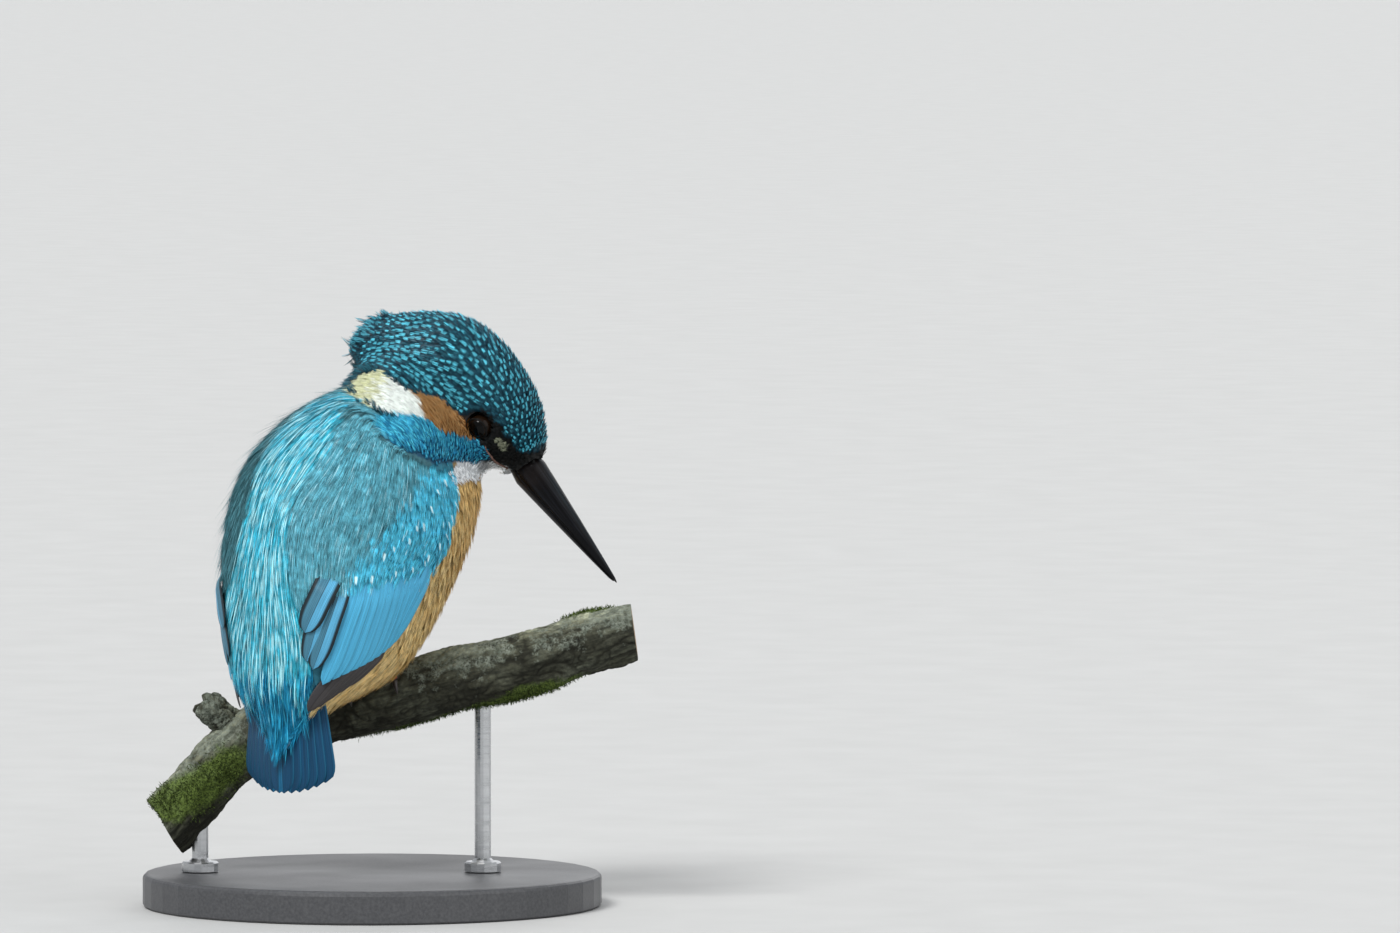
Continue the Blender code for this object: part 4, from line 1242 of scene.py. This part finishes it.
def growVanes(name, vanes, finish, slot, nodes=()):
    # each vane is a long shallow shell: a line to follow, its half width, where its tip starts to round off,
    # how far it bulges, and which way round its outer web lies
    shells, everyLie = [], []
    for vane in vanes:
        vane = {**vaneDefaults, **vane}
        t = np.linspace(0, 1, vane["rows"])
        x = np.linspace(-1, 1, vane["columns"])
        centre, up = vane["line"](t)
        ahead = unit(np.gradient(centre, axis=0))
        side = unit(np.cross(up, ahead))
        up = np.cross(ahead, side)
        pastRound = np.clip((t - vane["round"]) / (1 - vane["round"]), 0, 1)
        shape = np.clip(t / 0.12, 0.25, 1) ** 0.5 * np.sqrt(np.clip(1 - pastRound**2.2, 0.0004, 1))
        sideways = vane["half"] * shape[:, None] * x
        shaft = vane["shaftRise"] * np.exp(-((x / vane["shaftWidth"]) ** 2))
        rise = vane["cup"] * (1 - x**2) * shape[:, None] + shaft
        grid = centre[:, None] + (side[:, None] * sideways[..., None] + up[:, None] * rise[..., None]) * mm
        below = grid[:, ::-1] - up[:, None] * vane["thick"] * mm
        shells.append(gridShell(np.concatenate([grid, below], 1), caps=False))
        across = np.concatenate([x, x[::-1]]) * vane["flip"]
        everyLie.append(together(t[:, None], across, chance.random()).reshape(-1, 3))
    dress(meshFrom(name, *joined(shells), finish, {"lie": np.vstack(everyLie)}), slot, *nodes)
    report(f"{name}: {len(vanes)} feathers")


def wingLine(side, first, last, height, bow):
    # a line on the folded wing between two places (share along the trunk, degrees round it)
    def line(t):
        share = first[0] + (last[0] - first[0]) * t
        angle = first[1] + (last[1] - first[1]) * t + bow * np.sin(math.pi * t)
        turn = np.radians(angle) * side
        out = -0.8 + (height + 0.8) * smooth(0, 0.42, t)  # its root lies under the coverts
        centre = trunkPoint(share, turn, out)
        outer = trunkPoint(share, turn, out + 1.0)
        return centre, unit(outer - centre)
    return line


wingVanes = {  # where the tip starts to round off, and the bulge
    "primaries": {"round": 0.70, "cup": 0.25},
    "secondaries": {"round": 0.76, "cup": 0.2},
    "tertials": {"round": 0.68, "cup": 0.4},
}
# Each feather's first and last place (share along the trunk, degrees round it), height, half width and bow.
wingLines = {
    "primaries": [((0.66, 78 + 3 * i), (0.886 - 0.071 * (i / 4) ** 1.5, 50.5 + 5.9 * i),
                   0.75 - 0.06 * i, 2.0, 2) for i in range(5)],
    "secondaries": [((0.48 - 0.0065 * i, 64 + 3.5 * i), (0.818 - 0.0153 * i, 90 - 35 * (1 - i / 10) ** 2),
                     1.45 - 0.05 * i, 2.1, 0) for i in range(11)],
    "tertials": [((0.53, 46), (0.768, 37), 1.45, 2.7, 0), ((0.53, 53), (0.785, 43), 1.7, 2.8, 0),
                 ((0.52, 47), (0.700, 33.5), 2.0, 3.1, 0)],
}


def makeWingFeathers():
    # each finish is given as the outer web, the inner web, the shaft and the edge
    finishes = {
        "primaries": vaneFinish("primaryVane", (0.060, 0.055, 0.055), (0.045, 0.042, 0.045),
                                (0.012, 0.011, 0.012), (0.085, 0.075, 0.07), 0.5),
        "secondaries": vaneFinish("secondaryVane", (0.080, 0.43, 0.68), (0.070, 0.38, 0.61),
                                  (0.055, 0.28, 0.45), (0.095, 0.44, 0.66)),
        "tertials": vaneFinish("tertialVane", (0.11, 0.42, 0.66), (0.060, 0.20, 0.29), (0.020, 0.040, 0.055),
                               (0.014, 0.024, 0.030), edgeFrom=0.60),
    }
    for sideName, side in (("right", -1), ("left", 1)):
        for name, lines in wingLines.items():
            vanes = []
            for first, last, height, half, bow in lines:
                line = wingLine(side, first, last, height, bow)
                vanes.append(dict(wingVanes[name], line=line, half=half, flip=-side))
            growVanes(f"{name}_{sideName}", vanes, finishes[name], "wing_feathers")


tailSettings = {"root": (33.5, 4.0), "tip": (33.0, -28.6), "halfSpread": 12.2, "arch": 2.2, "stack": 0.17}
tailVane = {"half": 3.3, "round": 0.84, "cup": 0.25, "thick": 0.16}


def makeTail():
    finish = vaneFinish("tailVane", (0.010, 0.13, 0.26), (0.005, 0.055, 0.125), (0.002, 0.016, 0.034),
                        (0.010, 0.12, 0.22), 0.35)
    vanes = []
    for i in range(6):
        for side in (-1, 1):
            share = (i + 0.35) / 5.6

            def line(t, share=share, side=side, i=i):
                root, tip = np.array(tailSettings["root"]), np.array(tailSettings["tip"])
                reach = 1 - 0.10 * share**2.4
                spot = root + (tip - root) * (t * reach)[:, None]
                x = side * share * tailSettings["halfSpread"] * (0.55 + 0.45 * t**0.8)
                y = spot[:, 0] - tailSettings["arch"] * share**2 * (0.4 + 0.6 * t) + 0.75
                y -= tailSettings["stack"] * i
                centre = together(x, y, spot[:, 1] + birdShape["perchHeight"]) * mm
                return centre, unit(together(side * 0.25 * share, 1.0, 0 * t))
            vanes.append(dict(tailVane, line=line, flip=side))
    growVanes("tailFeathers", vanes, finish, "tail_feathers", ("tail",))


billSettings = {
    "length": 34.6,
    "sunk": 9.0,
    "halfWidth": 3.9,
    "halfDepth": 4.0,
    "underbite": 0.8,
    "bluntness": 0.28,
    "gap": 0.15,
    "drop": 0.45,
    "rows": 70,
    "nostril": {"angle": 0.55, "at": 1.6, "halfLength": 1.5, "depth": 0.10, "groove": 0.035},
    "lip": 0.05,
}


def billSize(forward):
    taper = np.clip(1 - np.maximum(forward, 0) / billSettings["length"], 0, 1) ** 0.92
    return taper * (1 + 0.45 * np.minimum(forward, 0) / billSettings["sunk"])


def makeBill():
    finish = Finish("billHorn", (0.003, 0.003, 0.004), 0.30, Specular_IOR_Level=0.12)
    place = finish.attribute("lie", "Vector")
    along, across, _ = finish.parts(place)
    grain = finish.noise(finish.scaled(place, (2.2, 30.0, 1.0)), 1.0, 4.0)
    wear = finish.noise(finish.place(), 260.0, 4.0)
    horn = finish.mix(finish.between(grain, 0.45, 0.7), (0.0015, 0.0015, 0.002), (0.008, 0.009, 0.012))
    # painted highlight: a pale bluish-grey band down the middle of each mandible, along its ridge
    ridgeHighlight = (1 - finish.between(abs(across - 0.43), 0.03, 0.13)) * finish.between(grain, 0.35, 0.65)
    horn = finish.mix(ridgeHighlight * 0.6, horn, (0.022, 0.030, 0.036))
    horn = finish.mix(finish.between(along, 0.93, 1.0) * 0.4, horn, (0.025, 0.023, 0.022))
    horn = finish.mix((1 - finish.between(along, 0.0, 0.22)) * wear * 0.5, horn, (0.020, 0.012, 0.009))
    finish.use(Base_Color=horn, Roughness=finish.ramp(wear, [(0.3, 0.20), (0.7, 0.42)]))
    finish.bump(grain, 0.25, 0.0002)
    rows, nostril = billSettings["rows"], billSettings["nostril"]
    for name, sign, node in (("upperMandible", 1, "bill_upper"), ("lowerMandible", -1, "bill_lower")):
        tip = billSettings["length"] - (billSettings["underbite"] if sign < 0 else 0)
        forward = -billSettings["sunk"] + (tip + billSettings["sunk"]) * np.linspace(0, 1, rows) ** 0.92
        size = billSize(forward)
        blunt = billSettings["bluntness"] * np.clip((tip - forward) / 1.2, 0.12, 1) ** 0.5
        turns = np.linspace(0, math.pi, 25)
        halfWidth = (billSettings["halfWidth"] * size + blunt)[:, None]
        depth = (billSettings["halfDepth"] * size + blunt)[:, None]
        ridge = 1 + 0.02 * np.cos(2 * (turns - math.pi / 2))
        x = halfWidth * np.cos(turns) * (1 - 0.10 * np.sin(turns) ** 2)
        height = depth * np.sin(turns) ** 0.85 * ridge
        if sign > 0:  # the nostril's slit and the groove that runs on from it
            slit = np.exp(-((forward - nostril["at"]) / nostril["halfLength"]) ** 2) * nostril["depth"]
            groove = smooth(-2, 1, forward) * (1 - smooth(6, 18, forward)) * nostril["groove"]
            for side in (nostril["angle"], math.pi - nostril["angle"]):
                near = np.exp(-((turns - side) / 0.16) ** 2)
                x = x * (1 - near * (slit + groove)[:, None])
        x = x * (1 + billSettings["lip"] * (2 - smooth(0, 0.25, turns) - smooth(0, 0.25, math.pi - turns)))
        level = sign * (billSettings["gap"] + height) - billSettings["drop"]
        top = together(forward[:, None], x, level)
        ends = np.linspace(0, 1, 6)[1:-1]
        flat = top[:, -1:] * (1 - ends[None, :, None]) + top[:, :1] * ends[None, :, None]
        grid = fromHead(np.concatenate([top, flat], 1))
        lie = together((forward / tip)[:, None], np.linspace(0, 1, grid.shape[1]), 0.5)
        dress(gridMesh(name, grid, finish, attributes={"lie": lie}), "bill_horn", node)
    report("bill")


eyeSettings = {
    "radius": 3.1,
    "place": (-15.0, 8.9, 3.9),
    "gaze": (0.16, 1, 0.10),
    "open": 2.42,
    "lid": 0.26,
    "ball": 0.97,  # share of the radius that the eyeball itself has
    "cornea": 0.035,
}
gapeSettings = {
    "corner": (-12.4, 8.6, 1.7),
    "front": (-2.0, 4.6, -1.6),
    "bow": 0.9,
    "proud": 0.75,
    "radius": 0.28,
}


def makeEyes(body):
    # the eyeballs, their lids and the pink line of the gape
    wet = Finish("eyeball", (0.006, 0.004, 0.003), 0.08, Specular_IOR_Level=0.14)
    radial, _, _ = wet.parts(wet.attribute("lie", "Vector"))
    streaks = wet.noise(wet.place(), 1800.0)
    iris = wet.mix(streaks, (0.004, 0.002, 0.001), (0.016, 0.008, 0.004))
    wet.use(Base_Color=wet.mix(1 - wet.between(radial, 0.44, 0.50), iris, (0.001, 0.001, 0.001)))
    lidFinish = speckled("eyelid", (0.008, 0.007, 0.007), 0.6, 2600.0,
                         [(0.3, (0.002, 0.002, 0.002)), (0.8, (0.011, 0.010, 0.009))], (0.5, 0.0001),
                         Specular_IOR_Level=0.12)
    gapeFinish = speckled("gapeSkin", (0.16, 0.075, 0.055), 0.5, 1500.0,
                          [(0.3, (0.05, 0.025, 0.02)), (0.7, (0.24, 0.12, 0.09))])
    polar, turns = np.linspace(0, math.pi, 40)[:, None], circle(48)
    radius, opening = eyeSettings["radius"], eyeSettings["open"]
    reach = math.sqrt(radius**2 - opening**2)
    for sideName, side in (("left", 1), ("right", -1)):
        centre = np.array(eyeSettings["place"]) * (1, side, 1)
        gaze = unit(np.array(eyeSettings["gaze"]) * (1, side, 1))
        first = unit(np.cross(gaze, (0, 0, 1.0)))
        second = np.cross(gaze, first)
        bulge = radius * eyeSettings["ball"] * (1 + eyeSettings["cornea"] * np.exp(-((polar / 0.55) ** 2)))
        ball = together(np.cos(polar), np.sin(polar) * np.cos(turns), np.sin(polar) * np.sin(turns))
        grid = centre + bulge[..., None] * (ball @ np.array((gaze, first, second)))
        lie = together(polar / (math.pi / 2), turns, 0.5)
        eye = gridMesh(f"eyeball_{sideName}", fromHead(grid), wet, attributes={"lie": lie})
        dress(eye, "eye", f"eye_{sideName}")

        turn = np.linspace(0, 2 * math.pi, 49)[:, None]
        toCorner = np.abs(np.cos(turn))  # the lid's two corners are drawn out and sunk
        loop = first * np.cos(turn) * (1 + 0.10 * toCorner**6) + second * np.sin(turn) * 0.93
        loop = centre + gaze * (reach + 0.05 - 0.25 * toCorner**2) + loop * opening
        wrinkle = 1 + 0.12 * np.sin(np.linspace(0, 60, 49))
        lid = gridMesh(f"eyelid_{sideName}", tubeGrid(fromHead(loop), eyeSettings["lid"] * mm * wrinkle, 10),
                       lidFinish, caps=False)
        dress(lid, "crown_feathers")

        share = np.linspace(0, 1, 20)[:, None]
        line = np.array(gapeSettings["corner"]) * (1 - share) + np.array(gapeSettings["front"]) * share
        line[:, 1] = (line[:, 1] + gapeSettings["bow"] * np.sin(math.pi * share[:, 0])) * side
        landed = [body.surface.find_nearest(Vector(point)) for point in fromHead(line)]
        line = np.array([place + normal * gapeSettings["proud"] * mm for place, normal, _, _ in landed])
        thick = gapeSettings["radius"] * mm * np.sin(math.pi * (0.08 + 0.84 * share[:, 0]))
        dress(gridMesh(f"gape_{sideName}", tubeGrid(line, thick, 8), gapeFinish), "foot_skin")
    report("eyes")


footSettings = {
    "gap": 0.3,
    "toeRadius": 1.15,
    "clawLength": 3.2,
    "clawThickness": (0.72, 0.60, 0.38, 0.05),
    "shankThickness": (1.5, 1.3, 1.5),
    "along": {"right": 7.0, "left": -5.0},  # millimetres along the branch
    "toes": {"inner": (-3.0, 74), "middle": (-0.6, 92), "outer": (1.7, 84), "hind": (-0.4, -62)},
}


def toeLine(place, start, turn, lean, radius, count):
    # a line round the branch, from one turn to another in degrees from its top
    share = np.linspace(0, 1, count)
    centre, _, up, side = perchFrame(place + lean * share)
    angle = np.radians(start + (turn - start) * share)[:, None]
    out = perchShape["radius"] + footSettings["gap"] + radius
    return centre + (up * np.cos(angle) + side * np.sin(angle)) * out * mm


def makeFeet():
    skin = Finish("footSkin", (0.50, 0.075, 0.03), 0.42)
    cells = {"Vector": skin.place(), "Scale": 1500.0}
    scales = skin.add("ShaderNodeTexVoronoi", {"feature": "DISTANCE_TO_EDGE"}, cells, "Distance")
    flesh = skin.mix(skin.noise(skin.place(), 500.0), (0.42, 0.05, 0.02), (0.62, 0.13, 0.05))
    skin.use(Base_Color=skin.mix(1 - skin.between(scales, 0.0, 0.12), flesh, (0.24, 0.03, 0.015)))
    skin.bump(skin.between(scales, 0.0, 0.25), 0.5, 0.0002)
    horn = speckled("clawHorn", (0.02, 0.014, 0.012), 0.35, 900.0,
                    [(0.3, (0.010, 0.008, 0.008)), (0.8, (0.05, 0.035, 0.03))], (0.3, 0.0001))
    toeRadius = footSettings["toeRadius"]
    toeRows, clawRows, shankRows = 40, 18, 16
    girth = toeRadius * (1 - 0.24 * np.linspace(0, 1, toeRows))
    girth *= 1 + 0.05 * np.sin(np.linspace(0, 16 * math.pi, toeRows))  # the rings of its scales
    girth[-1] *= 0.6
    clawGirth = np.interp(np.linspace(0, 1, clawRows), (0, 0.3, 0.7, 1), footSettings["clawThickness"])
    shankGirth = np.interp(np.linspace(0, 1, shankRows), (0, 0.5, 1), footSettings["shankThickness"])
    sweep = math.degrees(footSettings["clawLength"] / (perchShape["radius"] + 1))
    for name, place in footSettings["along"].items():
        sign = math.copysign(1, place)
        centre, _, up, _ = (v[0] for v in perchFrame(np.array([place])))
        top = centre + up * (perchShape["radius"] + footSettings["gap"] + 1.3) * mm
        shank = [top, top + (up * 3.5 + (0, 0.8, 0)) * mm, top + np.array((0, 2.0, 8.0)) * mm]
        shank = curveThrough(shank, shankRows)
        shells = [gridShell(tubeGrid(shank, shankGirth * mm, 16))]
        for toe, (lean, turn) in footSettings["toes"].items():
            line = toeLine(place, 0, turn, lean * sign, toeRadius, toeRows)
            shells.append(gridShell(tubeGrid(line, girth * mm, 14)))
            way = math.copysign(1, turn)
            first, last = turn + way * 3.0, turn + way * (4.5 + sweep)
            hook = toeLine(place + lean * sign, first, last, 0.0, 0.75, clawRows)
            claw = gridMesh(f"talon_{name}_{toe}", tubeGrid(hook, clawGirth * mm, 12), horn)
            dress(claw, "claw_horn", f"claw_{name}_{toe}")
        dress(meshFrom(f"toes_{name}", *joined(shells), skin), "foot_skin", f"foot_{name}")
    report("feet")


barkSettings = {
    "rows": 460,
    "columns": 160,
    "ridge": 0.42,
    "fine": 0.26,
    "lumps": 0.18,
    "evenTo": (11, 12),  # the branch is round this near the feet, and has its full shape so much further on
    # patches: along the branch, degrees round from its top, length and width
    "moss": [(-38, -95, 8, 45), (-47, -50, 5, 40), (8, 165, 16, 28), (36, -160, 14, 26), (54, 15, 7, 22)],
    "mossHeight": 0.5,
    "blades": 5200,
    "bladeLength": 0.9,
    "bladeWidth": 0.22,
    "bedded": 0.12,  # how far the whole bark is let into its solid
    "worn": 0.035,  # share of the radius lost at the sawn edges
    "leastMoss": 0.08,
}


def waves(place, rng, count, low, high):
    # layered random waves, a cheap even noise for shaping bark
    total = np.zeros(place.shape[:-1])
    for _ in range(count):
        way = unit(rng.normal(0, 1, 3)) * rng.uniform(low, high)
        total += np.sin(place @ way + rng.uniform(0, 2 * math.pi))
    return total / math.sqrt(count)


def barkHeight(flat, rng):
    # furrows that run along the wood, finer cracks and low lumps, in millimetres
    warp = waves(flat, rng, 14, 0.15, 0.6)[..., None] * (0.9, 1.2, 1.2)
    grain = (flat + warp) * (0.32, 1.0, 1.0)
    furrows = np.abs(waves(grain, rng, 22, 0.8, 2.0))
    fine = np.abs(waves(grain * (1.6, 1, 1), rng, 24, 2.6, 5.5))
    lumps = waves(flat, rng, 12, 0.2, 0.55)
    height = barkSettings["ridge"] * (np.minimum(furrows, 0.9) - 0.75)
    return height + barkSettings["fine"] * (np.minimum(fine, 1.0) - 0.8) + barkSettings["lumps"] * lumps


def mossAmount(distance, turns):
    # 0 on bare bark to 1 in the middle of a patch
    total = np.zeros(np.broadcast(distance, turns).shape)
    for along, around, length, width in barkSettings["moss"]:
        off = (np.degrees(turns) - around + 180) % 360 - 180
        total += np.exp(-((distance - along) / length) ** 2 - (off / width) ** 2)
    return total


def barkFinish():
    bark = Finish("bark", (0.09, 0.085, 0.06), 0.9, Specular_IOR_Level=0.25)
    place = bark.place()
    broad = bark.noise(place, 90.0, 4.0)
    small = bark.noise(place, 700.0, 5.0)
    speck = bark.noise(place, 2100.0, 4.0, 0.7)
    hollow, topSide, moss = bark.parts(bark.attribute("lie", "Vector"))
    grain = bark.noise(bark.attribute("grain", "Vector"), 7.0, 6.0, 0.6)
    greys = [(0.30, (0.040, 0.040, 0.026)), (0.5, (0.085, 0.088, 0.060)), (0.70, (0.14, 0.15, 0.11))]
    tone = bark.times(bark.ramp(broad, greys), bark.ramp(grain, [(0.35, 0.45), (0.5, 1.0), (0.65, 1.6)]))
    tone = bark.times(tone, bark.ramp(small, [(0.3, 0.6), (0.7, 1.4)]))
    # painted light: the top of the branch lighter, its sides and underside darker
    tone = bark.times(tone, bark.ramp(topSide, [(0.05, 0.50), (0.6, 0.72), (0.97, 2.3)]))
    # painted shade: the bark goes dark in the bottoms of its furrows
    tone = bark.mix(1 - bark.between(hollow, -0.60, 0.0), tone, (0.014, 0.014, 0.009))
    crust = bark.noise(place, 230.0, 6.0, 0.7)
    crustArea = bark.noise(place, 34.0, 2.0)
    # pale lichen in patches, more of it towards the top of the branch, where it also adds painted light
    pale = bark.between(crust + (crustArea - 0.5) * 0.45 + topSide * 0.18, 0.56, 0.67)
    pale = pale * bark.between(speck, 0.36, 0.56)
    lichen = bark.ramp(small, [(0.3, (0.075, 0.09, 0.068)), (0.7, (0.26, 0.29, 0.24))])
    tone = bark.mix(pale * 0.85, tone, lichen)
    green = bark.between(moss + (crust - 0.5) * 1.2, 0.30, 0.75)
    leaf = bark.ramp(speck, [(0.35, (0.022, 0.038, 0.006)), (0.6, (0.13, 0.19, 0.035))])
    bark.use(Base_Color=bark.mix(green * 0.9, tone, leaf))
    bark.bump(small + speck * 0.6 + grain * 0.6, 0.7, 0.0005)
    return bark


grainScale = (0.02, 0.1, 0.1)  # the bark's grain is drawn out along the wood


def makePerch():
    rng = np.random.default_rng(5)
    rows, columns = barkSettings["rows"], barkSettings["columns"]
    radius = perchShape["radius"]
    first, last = perchShape["line"][0][0], perchShape["line"][-1][0]
    share = np.linspace(0, 1, rows)
    distance = first + (last - first) * share
    centre, way, up, side = perchFrame(distance)
    swell = alongRows(perchShape["swell"], share)
    turns = circle(columns)
    column = distance[:, None]
    flat = together(column, np.cos(turns) * radius, np.sin(turns) * radius)
    moss = mossAmount(column, turns)
    height = barkHeight(flat, rng) + barkSettings["mossHeight"] * moss
    evenTo, evenOver = barkSettings["evenTo"]
    shaped = np.clip((np.abs(column) - evenTo) / evenOver, 0, 1)
    knobs = 0.04 * np.sin(3 * turns + 0.11 * column) + 0.025 * np.sin(5 * turns - 0.23 * column)
    girth = radius + (radius * swell[:, None] * (1 + knobs) - radius) * shaped + height
    toEnd = np.minimum(share, 1 - share) * (rows - 1)
    kept = 1 - barkSettings["worn"] * (1 - smooth(0, 3, toEnd))
    girth = (girth - barkSettings["bedded"]) * kept[:, None]
    around = up[:, None] * np.cos(turns)[None, :, None] + side[:, None] * np.sin(turns)[None, :, None]
    grid = centre[:, None] + around * girth[..., None] * mm
    bark = barkFinish()
    # lie holds the bark's height, for the painted shade in its furrows, how far it faces up, for the painted
    # light on its top, and the moss
    attributes = {"lie": together(height, np.cos(turns), moss), "grain": flat * grainScale}
    dress(gridMesh("branchBark", grid, bark, False, attributes), "bark", "perch")
    makeStub(bark, rng)
    growMoss(grid, around, moss, rng)

    wood = Finish("cutWood", (0.42, 0.30, 0.17), 0.7)
    ring, _, _ = wood.parts(wood.attribute("lie", "Vector"))
    lines = wood.bands(wood.attribute("lie", "Vector"), 2.2, 1.2, 3.0)
    ray = wood.noise(wood.place(), 900.0, 4.0)
    cut = wood.mix(lines, (0.40, 0.27, 0.14), (0.25, 0.15, 0.07))
    cut = wood.mix(wood.between(ring, 0.86, 0.95), cut, (0.06, 0.045, 0.03))
    wood.use(Base_Color=wood.times(cut, wood.ramp(ray, [(0.3, 0.75), (0.7, 1.2)])))
    wood.bump(lines + ray, 0.25, 0.0002)
    rings = np.linspace(1, 0.02, 16)[:, None]
    lie = together(rings, turns, 0.0)
    for name, i, facing in (("cutLow", 0, -1), ("cutHigh", rows - 1, 1)):
        disc = centre[i] + (grid[i] - centre[i]) * rings[..., None]
        disc += way[i] * facing * (0.10 * (1 - rings) * mm)[..., None]
        dress(gridMesh(name, disc, wood, False, {"lie": lie}), "bark")
    report("branch")


def makeStub(bark, rng):
    # the snapped twig's stump beside the tail
    centre, way, up, side = (v[0] for v in perchFrame(np.array([perchShape["stubAlong"]])))
    lean = unit(up * 0.93 - way * 0.25 - side * 0.1)
    root = centre + lean * perchShape["radius"] * 0.35 * mm
    rows, columns = 90, 72
    share = np.linspace(0, 1, rows)
    line = root + lean * (perchShape["stubLength"] * mm * share)[:, None]
    line += side * (0.35 * mm * np.sin(5 * share))[:, None]
    girth = perchShape["stubRadius"] * np.interp(share, *perchShape["stubGirth"])
    grid = tubeGrid(line, girth * mm, columns)
    out = unit(grid - line[:, None])
    turns = circle(columns)
    flat = together(perchShape["stubGrain"] * share[:, None], np.cos(turns) * 4, np.sin(turns) * 4)
    height = barkHeight(flat * 1.3, rng) * 1.1
    grid = grid + out * height[..., None] * mm
    jag = 0.7 * np.sin(3 * turns + 1) + 0.5 * np.sin(7 * turns)
    grid = grid + lean * (jag * smooth(0.75, 1, share)[:, None])[..., None] * mm  # a torn rim
    # the stump has one fixed level of painted light, between that of the branch's top and its sides, and
    # moss fading up it
    lie = together(height, 0.6, 0.25 * (1 - share)[:, None])
    dress(gridMesh("branchStub", grid, bark, True, {"lie": lie, "grain": flat * grainScale}), "bark")


def growMoss(grid, around, moss, rng):
    # short upright blades, thickest in the middle of each patch
    chances = (moss ** 2).ravel()
    chances[chances < barkSettings["leastMoss"]] = 0
    count = barkSettings["blades"]
    spot = rng.choice(len(chances), count, p=chances / chances.sum())
    foot, out = grid.reshape(-1, 3)[spot], around.reshape(-1, 3)[spot]
    foot = foot + rng.normal(0, 0.15, (count, 3)) * mm
    lean = unit(out + rng.normal(0, 0.55, (count, 3)))
    across = unit(np.cross(lean, rng.normal(0, 1, (count, 3))))
    length = barkSettings["bladeLength"] * rng.uniform(0.5, 1.3, count)[:, None] * mm
    half = across * barkSettings["bladeWidth"] / 2 * mm
    blade = [foot - half, foot + half, foot + lean * length * 0.6 + half, foot + lean * length]
    base = np.arange(count)[:, None] * 4
    leaf = Finish("mossLeaf", (0.06, 0.10, 0.02), 0.8, Specular_IOR_Level=0.2)
    along, luck, _ = leaf.parts(leaf.attribute("lie", "Vector"))
    tone = leaf.mix(luck, (0.06, 0.10, 0.016), (0.22, 0.31, 0.055))
    leaf.use(Base_Color=leaf.mix(along * 0.6, (0.014, 0.022, 0.006), tone, "ADD"))
    lie = together(np.array((0.0, 0.0, 0.6, 1.0)), rng.random(count)[:, None], 0.0)
    points, faces = np.stack(blade, 1).reshape(-1, 3), [base + np.arange(4)]
    dress(meshFrom("moss", points, faces, leaf, {"lie": lie}, isSmooth=False), "bark")


def finishStand():
    base = speckled("standPaint", (0.055, 0.056, 0.06), 0.42, 1400.0,
                    [(0.3, (0.045, 0.046, 0.05)), (0.7, (0.075, 0.076, 0.08))], (0.25, 0.0001))
    cloud = base.noise(base.place(), 25.0, 2.0)
    base.use(Roughness=base.ramp(cloud, [(0.3, 0.36), (0.7, 0.52)]))
    rod = Finish("rodSteel", (0.56, 0.57, 0.58), 0.3, Metallic=1.0)
    brushed = rod.noise(rod.scaled(rod.place(), (60.0, 60.0, 900.0)), 1.0, 3.0)
    rod.use(Roughness=rod.ramp(brushed, [(0.3, 0.2), (0.7, 0.42)]),
            Base_Color=rod.ramp(brushed, [(0.3, (0.48, 0.49, 0.50)), (0.7, (0.62, 0.63, 0.64))]))
    rod.bump(brushed, 0.15, 0.00005)
    for name, finish in (("stand_base", base), ("stand_rod_low", rod), ("stand_rod_high", rod)):
        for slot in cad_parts[name].material_slots:
            slot.material = finish.material
    report("stand")


makeStudio()
finishStand()
makePerch()
makeBill()
makeFeet()
body = Body(makeSkin())
report("skin")
makeEyes(body)
dressCrown(body)
dressFace(body)
dressBack(body)
dressWings(body)
dressCollar(body)
dressBreast(body)
makeWingFeathers()
makeTail()

bpy.context.view_layer.update()
report("finished")
